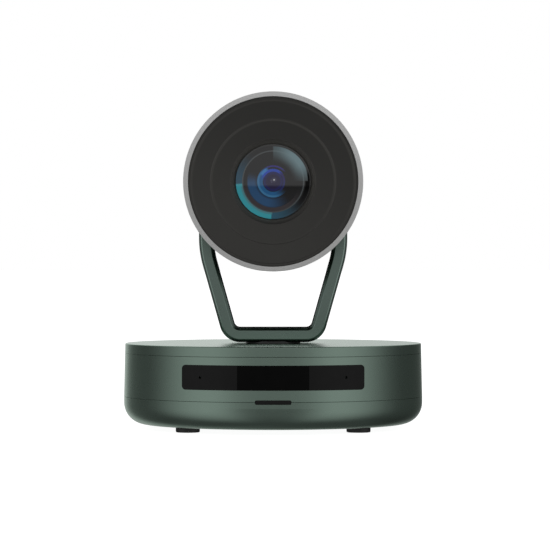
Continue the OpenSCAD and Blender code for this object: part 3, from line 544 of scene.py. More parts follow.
GREEN = (0.185, 0.250, 0.212)
# The yoke's green is a lighter copy of the housing green: painted light for the brighter light its arms
# catch.
YOKE_LIT_GREEN = (0.214, 0.282, 0.250)
MATERIALS = {
    "housing_paint": painted_metal("housing_paint", GREEN),
    "black_panel": moulded_plastic("black_panel", grey(0.003), 0.42, grain=0.03, specular=0.18),
    "black_gloss": moulded_plastic("black_gloss", grey(0.001), 0.08, grain=0.0, specular=0.06),
    "status_lens": moulded_plastic("status_lens", grey(0.008), 0.30, grain=0.0, specular=0.2),
    "rubber": moulded_plastic("rubber", grey(0.010), 0.55, grain=0.25, grain_scale=900),
    "brass": worked_metal("brass", (0.60, 0.42, 0.18), 0.30, streak=(1, 1, 8)),
    "steel": worked_metal("steel", (0.52, 0.53, 0.54), 0.34, streak=(1, 1, 12)),
    "motor_steel": worked_metal("motor_steel", (0.38, 0.39, 0.40), 0.42),
    "aluminium": worked_metal("aluminium", (0.58, 0.59, 0.60), 0.38),
    "circuit_board": board_material("circuit_board"),
    "socket_metal": worked_metal("socket_metal", grey(0.50), 0.28, streak=(1, 6, 1)),
    "socket_plastic": moulded_plastic("socket_plastic", grey(0.014), 0.45),
    "audio_plastic": moulded_plastic("audio_plastic", (0.05, 0.15, 0.07), 0.40),
    "button_plastic": moulded_plastic("button_plastic", (0.40, 0.40, 0.38), 0.45),
    "screw_steel": worked_metal("screw_steel", (0.045, 0.045, 0.047), 0.40),
    "pulley_plastic": moulded_plastic("pulley_plastic", (0.03, 0.03, 0.034), 0.45),
    "belt_rubber": moulded_plastic("belt_rubber", grey(0.012), 0.60, grain=0.3, grain_scale=1200),
    "neck_black": moulded_plastic("neck_black", grey(0.007), 0.35, grain=0.05),
    "liner_black": moulded_plastic("liner_black", (0.004, 0.005, 0.005), 0.85, grain=0.10, specular=0.03),
    "cable_sheath": moulded_plastic("cable_sheath", (0.03, 0.03, 0.035), 0.50),
    # Lighter top and darker bottom silver: painted shade towards the ring's lowest point.
    "ring_silver": ring_metal("ring_silver", (0.74, 0.74, 0.735, 1), (0.57, 0.57, 0.565, 1)),
    "disc_grey": turned_disc("disc_grey", (0.034, 0.033, 0.030), 0.48),
    "coated_glass": painted_lens_reflections("coated_glass"),
    "barrel_black": moulded_plastic("barrel_black", (0.006, 0.006, 0.007), 0.55, grain=0.2),
    "block_black": moulded_plastic("block_black", (0.020, 0.020, 0.022), 0.55, grain=0.2),
}
YOKE_LIT_PAINT = painted_metal("yoke_lit_paint", YOKE_LIT_GREEN)

# Every CAD node gets its look; some are replaced by finer pieces below.
for row in frame["record"]["subparts"]:
    kept = frame["nodes"][row["node"]]
    kept.data.materials.clear()
    kept.data.materials.append(MATERIALS[row["material_slot"]])


# ---------------------------------------------------------------- base

window_lo, window_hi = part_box("ir_window")
slot_lo, slot_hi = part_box("status_light")
feet_lo, feet_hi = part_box("rubber_feet")
recess_lo, recess_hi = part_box("rear_panel")

INLAY_GAP = 0.1 * MM  # room round the front panel and the feet
SLOT_GAP = 0.08 * MM
PANEL_W = panel_hi.x - panel_lo.x + 2 * INLAY_GAP
PANEL_H = panel_hi.z - panel_lo.z + 2 * INLAY_GAP
PANEL_CORNER = 1.8 * MM
PANEL_FLOOR_R = 70.8 * MM
WINDOW_BACK_R = 71.4 * MM
OPENING_HALF_W = 12 * MM
OPENING_HALF_H = 3.5 * MM
OPENING_BACK_Y = -60 * MM
SLOT_W = slot_hi.x - slot_lo.x + 2 * SLOT_GAP
SLOT_H = slot_hi.z - slot_lo.z + 2 * SLOT_GAP
SLOT_CORNER = 0.7 * MM
MIC_X = 34.4 * MM
MIC_ANGLE = math.asin(MIC_X / BASE_R)
MIC_HOLE_R = 0.65 * MM
MIC_HOLE_PAST = 4 * MM
PAST = 3 * MM  # how far a cutter sticks out of the base's side
CORNER_STEPS = 8

NECK_GAP = 0.6 * MM
TRAY_DROP = 0.1 * MM  # how much lower the underside is than the CAD's
LIP_DROP = 3 * MM
LIP_CHAMFER = 1.5 * MM
INNER_FILLET = 7.9 * MM
THREAD_R = 4.52 * MM
THREAD_RECESS_R = 5.6 * MM
THREAD_RECESS = 0.8 * MM
FOOT_R = 5.75 * MM
FOOT_RECESS = 0.6 * MM
FOOT_EDGE = 0.6 * MM
FOOT_DISH = 0.25 * MM
SCREW_RING_R = 57 * MM
SCREW_ANGLES = (20, 160, 200, 340)
SCREW_HOLE_R = 2.9 * MM
SCREW_HOLE = 2 * MM
AIR_SLOT_FROM = 51.5 * MM
AIR_SLOT_TO = 60.5 * MM
AIR_SLOT_HALF_W = 0.75 * MM
AIR_SLOT_STEP = 5  # degrees
# Opening for the rear panel, which overlaps the band by the rim.
PORTS_HALF_W = 35 * MM
PORTS_RIM = 1.6 * MM
PORTS_FROM_Y = 40 * MM
PORTS_TO_Y = 90 * MM


def curved_plate(name, width, height, corner, r_in, gap, z_mid, columns=96, rows=10):
    """Rounded rectangle, seen from the front, on the base's curved side, from r_in to the side less gap."""
    half_w, half_h = width / 2, height / 2
    inner_w = half_w - corner
    xs = [-half_w + corner * (1 - math.cos(math.pi / 2 * k / CORNER_STEPS)) for k in range(CORNER_STEPS)]
    xs += [-inner_w + 2 * inner_w * k / columns for k in range(columns + 1)]
    xs += [-x for x in reversed(xs[:CORNER_STEPS])]
    verts = []
    for outer in (True, False):
        for x in xs:
            over = max(0.0, abs(x) - inner_w)
            h = half_h - corner + math.sqrt(max(0.0, corner**2 - over**2))
            for j in range(rows + 1):
                z = z_mid + h * (2 * j / rows - 1)
                r = base_side(z) - gap if outer else r_in
                verts.append((x, -math.sqrt(r * r - x * x), z))
    n, m = len(xs), rows + 1
    faces = grid_faces(n, m)
    faces += [tuple(n * m + k for k in reversed(f)) for f in grid_faces(n, m)]
    rim = [i * m for i in range(n)] + [(n - 1) * m + j for j in range(1, m)]
    rim += [i * m + rows for i in range(n - 2, -1, -1)] + list(range(rows - 1, 0, -1))
    for a, b in zip(rim, rim[1:] + rim[:1]):
        faces.append((a, b, n * m + b, n * m + a))
    return make_object(name, verts, faces)


def mic_cutters(r):
    """Rods through the side of the base at the two microphones."""
    out = []
    for s in (-1, 1):
        way = Vector((s * math.sin(MIC_ANGLE), -math.cos(MIC_ANGLE), 0))
        reaches = (IN_R - MIC_HOLE_PAST, BASE_R + MIC_HOLE_PAST)
        start, end = (way * reach + Vector((0, 0, PANEL_Z)) for reach in reaches)
        out.append(rod_cutter(r, start, end, 32))
    return out


def slot_cutter():
    """Opening of the status light, across the lower seam."""
    return curved_plate("cutter", SLOT_W, SLOT_H, SLOT_CORNER, IN_R - 2 * MM, -PAST, LOW_SEAM_Z, 24, 6)


def opening_cutter():
    """Opening through the side behind the infrared window."""
    return box_cutter((-OPENING_HALF_W, -BASE_R, PANEL_Z - OPENING_HALF_H),
                      (OPENING_HALF_W, OPENING_BACK_Y, PANEL_Z + OPENING_HALF_H))


def underside_cutters(low):
    """Recesses for the thread, the feet and the screws, and the air slots, in the underside at height low."""

    def well(x, y, r, depth):
        return rod_cutter(r, (x, y, low - MM), (x, y, low + depth))

    cutters = [well(0, 0, THREAD_RECESS_R, THREAD_RECESS)]
    for x in (feet_lo.x, feet_hi.x):
        for y in (feet_lo.y, feet_hi.y):
            at = (x - math.copysign(FOOT_R, x), y - math.copysign(FOOT_R, y))
            cutters.append(well(*at, FOOT_R + INLAY_GAP, FOOT_RECESS))
    for degrees in SCREW_ANGLES:
        a = math.radians(degrees)
        cutters.append(well(SCREW_RING_R * math.cos(a), SCREW_RING_R * math.sin(a), SCREW_HOLE_R, SCREW_HOLE))
    for side_angle in (-90, 90):
        for k in range(-4, 5):
            slit = box_cutter((AIR_SLOT_FROM, -AIR_SLOT_HALF_W, low - MM),
                              (AIR_SLOT_TO, AIR_SLOT_HALF_W, low + 4 * MM))
            slit.data.transform(Matrix.Rotation(math.radians(side_angle + AIR_SLOT_STEP * k), 4, "Z"))
            cutters.append(slit)
    return cutters


def make_tray():
    top = LOW_SEAM_Z - SEAM_SEEN / 2
    low = tray_lo.z - TRAY_DROP
    lip_top = tray_hi.z - 0.4 * MM
    lip_low = top - LIP_DROP
    step = lip_low + LIP_CHAMFER
    outline = rounded([
        (THREAD_R, low, 0), (BASE_R, low, FILLET), (BASE_R, top, 0.1 * MM), (IN_R, top, 0),
        (IN_R, step, 0), (LIP_R, step, 0), (LIP_R, lip_top, 0), (LIP_R - LIP_T, lip_top, 0),
        (LIP_R - LIP_T, lip_low, 0), (IN_R, lip_low, 0),
        (IN_R, low + FLOOR_T, INNER_FILLET), (THREAD_R, low + FLOOR_T, 0),
    ], 14, 0.1 * MM)
    tray = lathe("base_tray_shell", outline)
    cut(tray, [slot_cutter(), *underside_cutters(low)])
    bevel(tray, HOUSING_EDGE)
    settle(tray, "base", "housing_paint", "base_tray")


def make_band():
    low, high = LOW_SEAM_Z + SEAM_SEEN / 2, HIGH_SEAM_Z - SEAM_SEEN / 2
    outline = rounded([
        (base_side(low), low, 0.1 * MM), (base_side(high), high, 0.1 * MM), (IN_R, high, 0), (IN_R, low, 0),
    ], 5, HOUSING_EDGE)
    ring = lathe("base_band_shell", outline)
    cut(ring, [
        curved_plate("cutter", PANEL_W, PANEL_H, PANEL_CORNER, PANEL_FLOOR_R, -PAST, PANEL_Z),
        opening_cutter(),
        box_cutter((-PORTS_HALF_W, PORTS_FROM_Y, recess_lo.z + PORTS_RIM),
                   (PORTS_HALF_W, PORTS_TO_Y, recess_hi.z - PORTS_RIM)),
        slot_cutter(),
        *mic_cutters(MIC_HOLE_R + 0.2 * MM),
    ])
    bevel(ring, HOUSING_EDGE)
    settle(ring, "base", "housing_paint", "base_band")


def make_cover():
    bore = neck_hi.x + NECK_GAP
    low = HIGH_SEAM_Z + SEAM_SEEN / 2
    outline = rounded([
        (bore, TOP_Z, 0.4 * MM), (base_side(TOP_Z), TOP_Z, 0.55 * MM), (base_side(low), low, 0.1 * MM),
        (LIP_R, low, 0), (LIP_R, cover_lo.z, 0), (LIP_R - LIP_T, cover_lo.z, 0),
        (LIP_R - LIP_T, TOP_Z - FLOOR_T, 0), (bore, TOP_Z - FLOOR_T, 0),
    ], 5, HOUSING_EDGE)
    settle(lathe("top_cover_shell", outline), "base", "housing_paint", "top_cover")


def make_front_panel():
    plate = curved_plate("front_panel_plate", PANEL_W - 2 * INLAY_GAP, PANEL_H - 2 * INLAY_GAP,
                         PANEL_CORNER - INLAY_GAP, PANEL_FLOOR_R + INLAY_GAP, INLAY_GAP, PANEL_Z)
    pocket = curved_plate("cutter", 2 * window_hi.x + 0.1 * MM, 2 * PANEL_H, 0.01 * MM,
                          WINDOW_BACK_R, -PAST, PANEL_Z, 40, 4)
    cut(plate, [pocket, opening_cutter(), *mic_cutters(MIC_HOLE_R)])
    bevel(plate, 0.1 * MM)
    settle(plate, "base", "black_panel", "front_panel")
    window = curved_plate("ir_window_plate", 2 * window_hi.x, window_hi.z - window_lo.z, 0.02 * MM,
                          WINDOW_BACK_R + 0.02 * MM, 0.08 * MM, PANEL_Z, 48, 8)
    bevel(window, 0.06 * MM)
    settle(window, "base", "black_gloss", "ir_window")
    light = curved_plate("status_light_bar", slot_hi.x - slot_lo.x, slot_hi.z - slot_lo.z,
                         SLOT_CORNER - 0.05 * MM, IN_R + 0.1 * MM, 0.35 * MM, LOW_SEAM_Z, 24, 6)
    bevel(light, 0.08 * MM)
    settle(light, "base", "status_lens", "status_light")


def make_feet():
    """Four feet with a shallow dish under each."""
    outline = rounded([(0, 0, 0), (FOOT_R, 0, FOOT_EDGE), (FOOT_R, feet_hi.z, 0), (0, feet_hi.z, 0)], 8)
    outline = [(0, FOOT_DISH), (FOOT_R * 0.55, FOOT_DISH), (FOOT_R * 0.62, 0)] + outline[1:]
    feet = []
    for x in (feet_lo.x + FOOT_R, feet_hi.x - FOOT_R):
        for y in (feet_lo.y + FOOT_R, feet_hi.y - FOOT_R):
            feet.append(lathe("foot", outline, False, FINE_TURNS, "z", (x, y, 0)))
    settle(joined("rubber_feet_set", feet), "base", "rubber", "rubber_feet")


# ---------------------------------------------------------------- yoke

ARM_T = 6.8 * MM
BAR_T = 6.9 * MM
LEAN = math.radians(15.7)
BEND_RISE = 43.7 * MM
BEND_R = 50 * MM
CORNER_R = 10.2 * MM
INNER_CORNER_R = 3 * MM
PIVOT_R = yoke_hi.y
BAR_HALF = 13 * MM
YOKE_Z = yoke_lo.z - 0.5 * MM
YOKE_X = yoke_hi.x - 0.17 * MM
LINER_TOP = TILT_Z - 23 * MM
LINER_T = 1.2 * MM
LINER_MARGIN = 1.6 * MM
LINER_RISE = 0.1 * MM
OUTER_EDGE = (1.15 * MM, 1.65 * MM)
INNER_EDGE = 1.3 * MM
NECK_BORE_R = 9.02 * MM
CAP_DEPTH = 1.2 * MM
HUB_SEAT_X = (20 * MM, 33 * MM)  # from inside the head to the bottom of the hub cover's seat in the arm
OUTSIDE_X = 40 * MM
ARC_STEPS = 20
END_STEPS = 24


def yoke_side(o):
    """Points (x, z) up the right half of the yoke, set in by o from its outer face, to the liner's top."""
    z0 = YOKE_Z + o * BAR_T / ARM_T
    x1 = YOKE_X - o
    z1 = YOKE_Z + BEND_RISE + o * math.tan(LEAN / 2)
    x0 = x1 - (z1 - z0) * math.tan(LEAN)
    r0 = CORNER_R + (INNER_CORNER_R - CORNER_R) * o / ARM_T
    low = corner_arc((0, z0), (x0, z0), (x1, z1), r0, ARC_STEPS)
    bend = corner_arc((x0, z0), (x1, z1), (x1, TILT_Z), BEND_R - o, ARC_STEPS)
    return low + bend + [(x1, LINER_TOP)]


def half_depth(z):
    """Half the yoke's front-to-back depth at height z."""
    share = (z - YOKE_Z + MM) / (TILT_Z - YOKE_Z + MM)
    return BAR_HALF + (PIVOT_R - BAR_HALF) * share


def sweep_yoke(name, section, with_ends):
    """Section points (o, o above the liner, side, inset) carried along the U, and with_ends over its tops."""
    columns = []
    for o, o_top, side, inset in section:
        line = [(x, side * (half_depth(z) - inset), z) for x, z in yoke_side(o)]
        if with_ends:
            x = YOKE_X - o_top
            line.append((x, side * (half_depth(LINER_TOP) - inset), LINER_TOP))
            r = PIVOT_R - inset
            for k in range(END_STEPS + 1):
                a = math.pi / 2 * k / END_STEPS
                line.append((x, side * r * math.cos(a), TILT_Z + r * math.sin(a)))
        columns.append([(-x, y, z) for x, y, z in reversed(line)] + line)
    rows = len(columns[0])
    verts = [columns[j][i] for i in range(rows) for j in range(len(columns))]
    faces = grid_faces(rows, len(columns), False, True)
    if not with_ends:
        n = len(columns)
        faces += [tuple(range(n)), tuple(range((rows - 1) * n, rows * n))]
    return make_object(name, verts, faces)


def pivot_rods(r, start, end):
    """Rods along the tilt axis, from start to end, through both arms."""
    return [rod_cutter(r, (s * start, 0, TILT_Z), (s * end, 0, TILT_Z), FINE_TURNS) for s in (-1, 1)]


def node_radius(name):
    """Radius of a CAD node that is round about the tilt axis."""
    lo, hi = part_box(name)
    return (hi.z - lo.z) / 2


def make_yoke():
    """Steep bevel along the outer edges, a flat one along the inner ones, and the liner's recess."""
    profile = rounded([
        (0, PIVOT_R, 0), (0, OUTER_EDGE[1], 0.8 * MM), (OUTER_EDGE[0], 0, 1.0 * MM),
        (ARM_T - INNER_EDGE, 0, 0.25 * MM), (ARM_T, INNER_EDGE, 0.2 * MM),
        (ARM_T, LINER_MARGIN, 0), (ARM_T - LINER_T - 0.05 * MM, LINER_MARGIN, 0),
    ], 7)[1:]
    section = [(o, min(ARM_T, o), -1, inset) for o, inset in profile[:-1]]
    section.append((profile[-1][0], ARM_T, -1, LINER_MARGIN))
    section += [(o, o_top, 1, inset) for o, o_top, _, inset in reversed(section)]
    yoke = sweep_yoke("yoke_body", section, True)
    bore = rod_cutter(NECK_BORE_R, (0, 0, YOKE_Z - MM), (0, 0, YOKE_Z + 3 * MM))
    caps = pivot_rods(node_radius("pivot_caps") + 0.08 * MM, YOKE_X - CAP_DEPTH, OUTSIDE_X)
    covers = pivot_rods(node_radius("hub_covers") + 0.1 * MM, *HUB_SEAT_X)
    cut(yoke, [bore, *caps, *covers])
    bevel(yoke, HOUSING_EDGE)
    settle(yoke, "turret", "housing_paint", "yoke_frame")
    # Lighter copy of the housing paint: painted light on the yoke.
    yoke.data.materials[0] = YOKE_LIT_PAINT


def make_liner():
    """Strip along the inside of the U, a little proud of it, with its edges broken."""
    edge = 0.25 * MM
    margin = LINER_MARGIN + 0.05 * MM
    top = ARM_T + LINER_RISE
    profile = [(ARM_T - LINER_T, margin), (top - edge, margin), (top, margin + edge)]
    section = [(o, o, -1, i) for o, i in profile] + [(o, o, 1, i) for o, i in reversed(profile)]
    settle(sweep_yoke("yoke_liner_strip", section, False), "turret", "liner_black", "yoke_liner")


def make_neck():
    r = neck_hi.x
    outline = rounded([
        (NECK_BORE_R, neck_lo.z, 0), (r, neck_lo.z, 0.2 * MM), (r, neck_hi.z, 0.3 * MM),
        (NECK_BORE_R, neck_hi.z, 0),
    ])
    settle(lathe("neck_disc", outline), "turret", "neck_black", "neck_collar")


# ---------------------------------------------------------------- head

FRONT_Y = ring_lo.y
SHOULDER_Y = -37 * MM
FLAT_X = 28.8 * MM
FLAT_END = 30 * MM
REAR_FILLET = 16 * MM
HEAD_WALL = 2.3 * MM
REAR_START_Y = rear_hi.y - REAR_FILLET
REAR_STEPS = 32
PIVOT_BORE_R = 8.02 * MM
PIVOT_INSIDE_X = 24 * MM
VENT_STEP = 3.6 * MM
VENT_HALF_W = 11 * MM
VENT_HALF_H = 0.8 * MM
REAR_SCREW = 15 * MM  # across and above the axis
REAR_SCREW_R = 2.1 * MM
REAR_SCREW_DEPTH = 1.4 * MM
THROUGH = 5 * MM
LENS_CENTRE = (0, 0, TILT_Z)
TRIM_W = 0.6 * MM
# The disc's stepped face from its rim inwards: radius, depth behind the ring's front, rounding.
DISC_STEPS = (
    (39.1 * MM, 0.50 * MM, 0.2 * MM), (38.7 * MM, 0.75 * MM, 0.2 * MM), (29.9 * MM, 1.05 * MM, 0.2 * MM),
    (29.5 * MM, 1.30 * MM, 0.2 * MM), (20.3 * MM, 1.65 * MM, 0.2 * MM), (19.6 * MM, 2.25 * MM, 0.2 * MM),
)
DOME_RINGS = 28
BLEND = 30
WIDTH_STEPS = 30
SIDE_STEPS = 44
SHOULDER_EDGE = 0.5 * MM
SHOULDER_RUN = 1.2 * MM
SHOULDER_EASE = 0.9 * MM
# Small edge of the head's open ends: distance from the end, and how much narrower than the side.
END_EDGE = ((0.0, 0.25 * MM), (0.08 * MM, 0.08 * MM), (0.25 * MM, 0.0))


def drum_radius(y, o):
    """Radius of the round head at distance y, set in by o."""
    if y <= REAR_START_Y:
        return HEAD_R - o
    f = REAR_FILLET - o
    return HEAD_R - REAR_FILLET + math.sqrt(max(0.0, f * f - (y - REAR_START_Y) ** 2))


def body_radius(angle, y, o):
    """Distance from the lens's axis to the head's side, set in by o. Flats that lean like the arms make room
    for them, and since a flat's distance depends on its own reach, it is found step by step."""
    r = drum_radius(y, o)
    c, s = abs(math.cos(angle)), abs(math.sin(angle))
    if c < 1e-6:
        return r
    flat = (FLAT_X - o) / c
    for _ in range(WIDTH_STEPS):
        reach = math.hypot(y, flat * s)
        x = FLAT_X - o - max(0.0, reach - (FLAT_END - 0.3 * o)) * math.tan(LEAN)
        flat = 0.5 * flat + 0.5 * max(1e-4, x) / c
    return (r**-BLEND + flat**-BLEND) ** (-1 / BLEND)


def head_object(name, stations):
    """Closed piece from rings round the lens's axis, each (y, radius as a function of the angle)."""
    verts = []
    for y, radius in stations:
        for k in range(HEAD_TURNS):
            a = 2 * math.pi * k / HEAD_TURNS
            r = radius(a)
            verts.append((r * math.cos(a), y, TILT_Z + r * math.sin(a)))
    return make_object(name, verts, grid_faces(len(stations), HEAD_TURNS, True, True))


def side(y, o, less=0.0):
    """The head's side at distance y, set in by o, less a little more."""
    return lambda a: body_radius(a, y, o) - less


def round_radius(r):
    return lambda a: r


def shoulder(y, ease):
    """Hollow behind the shoulder: the side, wider by ease, but no wider than the shoulder's edge."""
    return lambda a: min(HEAD_R - SHOULDER_EDGE, body_radius(a, y, 0) + ease)


def scaled(radius, share):
    return lambda a: share * radius(a)


def make_shell():
    """Round front, shoulder and body from front to back, then the inner side back to the front."""
    front, end = shell_lo.y, shell_hi.y
    wall = HEAD_WALL
    e = SHOULDER_EDGE
    stations = [
        (front, round_radius(HEAD_R - 0.25 * MM)), (front + 0.1 * MM, round_radius(HEAD_R - 0.08 * MM)),
        (front + 0.25 * MM, round_radius(HEAD_R)),
    ]
    for k in range(6):
        a = math.pi / 2 * k / 5
        stations.append((SHOULDER_Y - e + e * math.sin(a), round_radius(HEAD_R - e + e * math.cos(a))))
    for k in range(5):
        ease = SHOULDER_EASE * (1 - math.sin(math.pi / 2 * k / 4))
        y = SHOULDER_Y + SHOULDER_RUN * k / 4
        stations.append((y, shoulder(y, ease)))
    start = SHOULDER_Y + SHOULDER_RUN
    last = end - END_EDGE[-1][0]
    for k in range(1, SIDE_STEPS + 1):
        y = start + (last - start) * k / SIDE_STEPS
        stations.append((y, side(y, 0)))
    stations += [(end - away, side(end, 0, less)) for away, less in reversed(END_EDGE[:2])]
    inner_front = SHOULDER_Y - wall
    for k in range(SIDE_STEPS + 1):
        y = end + (inner_front - end) * k / SIDE_STEPS
        stations.append((y, side(y, wall)))
    stations += [(inner_front, round_radius(HEAD_R - wall)), (front, round_radius(HEAD_R - wall))]
    shell = head_object("head_shell_body", stations)
    cut(shell, pivot_rods(PIVOT_BORE_R, PIVOT_INSIDE_X, OUTSIDE_X))
    settle(shell, "head", "housing_paint", "head_shell")


def make_rear_cover():
    """Rounded back of the head, with vents and sunk screws."""
    wall = HEAD_WALL
    low, high = rear_lo.y, rear_hi.y
    first = END_EDGE[-1][0]
    stations = [(low + away, side(low, 0, less)) for away, less in END_EDGE[:2]]
    stations += [(y, side(y, 0)) for y in (low + first + (REAR_START_Y - low) * k / 8 for k in range(8))]
    for k in range(1, REAR_STEPS + 1):
        y = REAR_START_Y + REAR_FILLET * math.sin(math.pi / 2 * k / REAR_STEPS)
        stations.append((y, side(y, 0)))
    stations += [(high, scaled(side(high, 0), share)) for share in (0.8, 0.5, 0.2, 0.0)]
    stations += [(high - wall, scaled(side(high - wall, wall), share)) for share in (0.0, 0.3, 0.7, 1.0)]
    for k in range(REAR_STEPS - 1, -1, -1):
        y = REAR_START_Y + (REAR_FILLET - wall) * math.sin(math.pi / 2 * k / REAR_STEPS)
        stations.append((y, side(y, wall)))
    stations.append((low, side(low, wall)))
    cover = head_object("rear_cover_body", stations)
    cutters = []
    for k in range(-2, 3):
        z = TILT_Z + VENT_STEP * k
        cutters.append(box_cutter((-VENT_HALF_W, high - THROUGH, z - VENT_HALF_H),
                                  (VENT_HALF_W, high + THROUGH, z + VENT_HALF_H)))
    for x in (-REAR_SCREW, REAR_SCREW):
        for z in (TILT_Z - REAR_SCREW, TILT_Z + REAR_SCREW):
            bottom, top = (x, high - REAR_SCREW_DEPTH, z), (x, high + THROUGH, z)
            cutters.append(rod_cutter(REAR_SCREW_R, bottom, top))
    cut(cover, cutters)
    bevel(cover, HOUSING_EDGE)
    settle(cover, "head", "housing_paint", "rear_cover")


def make_front_ring():
    r_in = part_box("lens_bezel")[1].x - 0.04 * MM
    r_out = ring_hi.x
    outline = rounded([
        (r_in, FRONT_Y, 0.12 * MM), (r_out, FRONT_Y, 0.25 * MM), (r_out, ring_hi.y, 0.2 * MM),
        (r_in, ring_hi.y, 0),
    ], 6)
    ring = lathe("front_ring_band", outline, True, TURNS, "y", LENS_CENTRE)
    settle(ring, "head", "ring_silver", "front_ring")


def make_bezel():
    """Stepped disc between the silver ring and the glass."""
    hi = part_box("lens_bezel")[1]
    r = hi.x - 0.08 * MM
    glass_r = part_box("front_glass")[1].x
    outline = rounded([
        (r, FRONT_Y + 0.45 * MM, 0.25 * MM),
        *((radius, FRONT_Y + depth, fillet) for radius, depth, fillet in DISC_STEPS),
        (glass_r + 0.04 * MM, FRONT_Y + 3.20 * MM, 0.05 * MM), (glass_r + 0.05 * MM, hi.y, 0), (r, hi.y, 0),
    ], 4)
    disc = lathe("lens_bezel_disc", outline, True, TURNS, "y", LENS_CENTRE)
    settle(disc, "head", "disc_grey", "lens_bezel")


def dome(name, r, apex, rise, back):
    """Lens with a domed front face, a straight rim and a flat back."""
    outline = [(0.0, apex)]
    big_r = (r * r + rise * rise) / (2 * rise)
    for k in range(1, DOME_RINGS + 1):
        radius = (r - 0.06 * MM) * k / DOME_RINGS
        outline.append((radius, apex + big_r - math.sqrt(big_r * big_r - radius * radius)))
    outline += [(r, apex + rise + 0.05 * MM), (r, back), (0.0, back)]
    return lathe(name, outline, False, TURNS // 2, "y", LENS_CENTRE)


def make_lens():
    """Front glass, the lens behind it, and the thin ring between them."""
    lo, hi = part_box("front_glass")
    glass = dome("front_glass_dome", hi.x, lo.y - 0.9 * MM, 1.7 * MM, hi.y)
    settle(glass, "head", "coated_glass", "front_glass")
    lo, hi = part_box("objective_lens")
    lens = dome("objective_dome", hi.x, lo.y, 2.4 * MM, hi.y)
    settle(lens, "head", "coated_glass", "objective_lens")
    lo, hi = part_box("lens_trim_ring")
    r, r_in = hi.x, hi.x - TRIM_W
    outline = rounded([(r_in, lo.y, 0.15 * MM), (r, lo.y, 0.15 * MM), (r, hi.y, 0), (r_in, hi.y, 0)])
    trim = lathe("lens_trim", outline, True, TURNS, "y", LENS_CENTRE)
    settle(trim, "head", "aluminium", "lens_trim_ring")


# ---------------------------------------------------------------- studio

CAMERA_DISTANCE = 1.610
CAMERA_RISE = 0.04515
LOOK_DOWN = math.radians(0.4314)
LOOK_RIGHT = math.radians(0.0320)
FOCAL_LENGTH = 216.5
SENSOR_WIDTH = 36.0
CLIP_END = 50

# Brightness of the world's walls by azimuth, in degrees from straight in front towards +X.
WALLS = (
    (-180, 1.06), (-170, 1.16), (-162, 1.40), (-152, 0.60), (-144, 0.28), (-134, 0.19), (-124, 0.155),
    (-118, 0.14), (-108, 0.155), (-98, 0.26), (-88, 0.44), (-78, 0.64), (-68, 0.78), (-56, 0.86), (-44, 0.86),
    (-33, 0.74), (33, 0.74), (44, 0.86), (56, 0.86), (68, 0.76), (78, 0.62), (88, 0.42), (98, 0.25),
    (108, 0.155), (120, 0.115), (134, 0.115), (150, 0.14), (162, 0.26), (170, 0.72), (180, 1.02),
)
# Share of that brightness by height in degrees: at the sides, and behind.
AT_THE_SIDES = (
    (-90, 0.14), (-82, 0.19), (-70, 0.31), (-58, 0.54), (-46, 0.76), (-30, 0.93), (-20, 1.0), (22, 1.0),
    (40, 0.55), (58, 0.12), (90, 0.06),
)
BEHIND = (
    (-90, 0.14), (-50, 0.18), (-30, 0.37), (-15, 0.56), (-5, 0.70), (0, 0.72), (6, 0.78), (22, 1.0),
    (40, 0.55), (58, 0.12), (90, 0.06),
)
# Brightness by height straight in front, and the least that there is all round.
IN_FRONT = (
    (-90, 0.13), (-80, 0.15), (-57, 0.21), (-40, 0.26), (-25, 0.28), (-15, 0.26), (-6, 0.22), (-1.67, 0.18),
    (-1.17, 0.62), (30, 0.62), (45, 0.34), (60, 0.10), (90, 0.05),
)
BELOW = ((-90, 0.145), (-50, 0.145), (-26, 0.0), (90, 0.0))
# Degrees from straight in front over which the front gives way to the sides, the sides to the back, and the
# canopy begins, and the canopy's heights with their soft widths.
FRONT_ENDS = (16, 42)
BACK_BEGINS = (125, 150)
CANOPY_BEGINS = (62, 105)
CANOPY_HEIGHTS = (27, 76, 22, 16)
CANOPY_LIGHT = 0.75
FLOOR_HALF = 12.0
FLOOR_GLOW = 0.94


def make_camera():
    data = bpy.data.cameras.new("view")
    data.lens = FOCAL_LENGTH
    data.sensor_width = SENSOR_WIDTH
    data.clip_end = CLIP_END
    camera = bpy.data.objects.new("view", data)
    camera.location = (0, -CAMERA_DISTANCE, TOP_Z + CAMERA_RISE)
    camera.rotation_euler = (math.pi / 2 - LOOK_DOWN, 0, -LOOK_RIGHT)
    bpy.context.scene.collection.objects.link(camera)
    bpy.context.scene.camera = camera


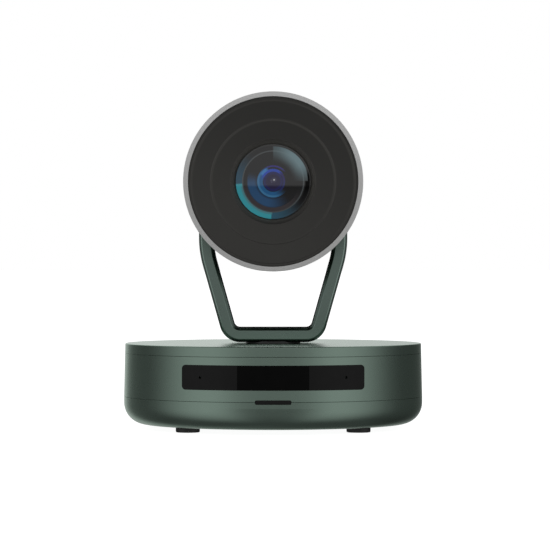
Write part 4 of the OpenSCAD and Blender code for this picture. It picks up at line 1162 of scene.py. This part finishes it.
def make_world():
    """Studio round the part: soft walls in front at both sides, dark ones further round, white ones behind.
    Straight in front it is bright above eye level and dark below. A soft canopy is high up at the sides and
    behind, and a faint light comes from below. Seen directly, it is white."""
    g = Graph("studio", "world")
    way = g.place()
    azimuth = g.times(g.math("ARCTAN2", way["X"], g.times(way["Y"], -1.0)), 180 / math.pi)
    turn = g.math("ABSOLUTE", azimuth)
    height = g.times(g.math("ARCSINE", way["Z"]), 180 / math.pi)
    sides, front, back = (g.ramp(height, -90, 90, stops) for stops in (AT_THE_SIDES, IN_FRONT, BEHIND))
    light = g.times(g.ramp(azimuth, -180, 180, WALLS), g.mix(g.fade(turn, *BACK_BEGINS), sides, back))
    light = g.mix(g.fade(turn, *FRONT_ENDS, 1.0, 0.0), light, front)
    canopy = g.times(g.band(height, *CANOPY_HEIGHTS), g.fade(turn, *CANOPY_BEGINS, 0.0, CANOPY_LIGHT))
    light = g.math("MAXIMUM", g.math("MAXIMUM", light, canopy), g.ramp(height, -90, 90, BELOW))
    seen = g.node("ShaderNodeLightPath").outputs["Is Camera Ray"]
    g.set(Color=g.mix(seen, light, grey(1)))
    bpy.context.scene.world = g.owner


def make_floor():
    """Pale floor, lit evenly, that the paint doesn't mirror."""
    size = FLOOR_HALF
    floor = make_object("floor", [(-size, -size, 0), (size, -size, 0), (size, size, 0), (-size, size, 0)],
                        [(0, 1, 2, 3)])
    g = Graph("floor_paper")
    g.set(Base_Color=g.mix(g.noise(scale=3), grey(0.50), grey(0.52)), Roughness=0.9, Specular_IOR_Level=0.0)
    g.set(Emission_Color=grey(1), Emission_Strength=FLOOR_GLOW)
    floor.data.materials.append(g.owner)
    floor.visible_glossy = False
    floor.visible_diffuse = False


# CAD nodes that keep their shape, and how wide their edges are rounded.
SOFT_EDGES = {
    "rear_panel": 0.2 * MM, "lan_port": 0.12 * MM, "hdmi_port": 0.12 * MM, "usb_port": 0.12 * MM,
    "power_inlet": 0.12 * MM, "audio_jack": 0.15 * MM, "reset_button": 0.15 * MM, "pivot_caps": 0.12 * MM,
    "tripod_insert": 0.12 * MM,
}

make_camera()
make_tray()
make_band()
make_cover()
make_front_panel()
make_feet()
make_yoke()
make_liner()
make_neck()
make_shell()
make_rear_cover()
make_front_ring()
make_bezel()
make_lens()
for name, width in SOFT_EDGES.items():
    softened_node(name, width)
# The caps get the yoke's lighter paint, which is painted light.
frame["nodes"]["pivot_caps"].data.materials[0] = YOKE_LIT_PAINT
make_world()
make_floor()
bpy.context.scene.view_settings.view_transform = "Standard"
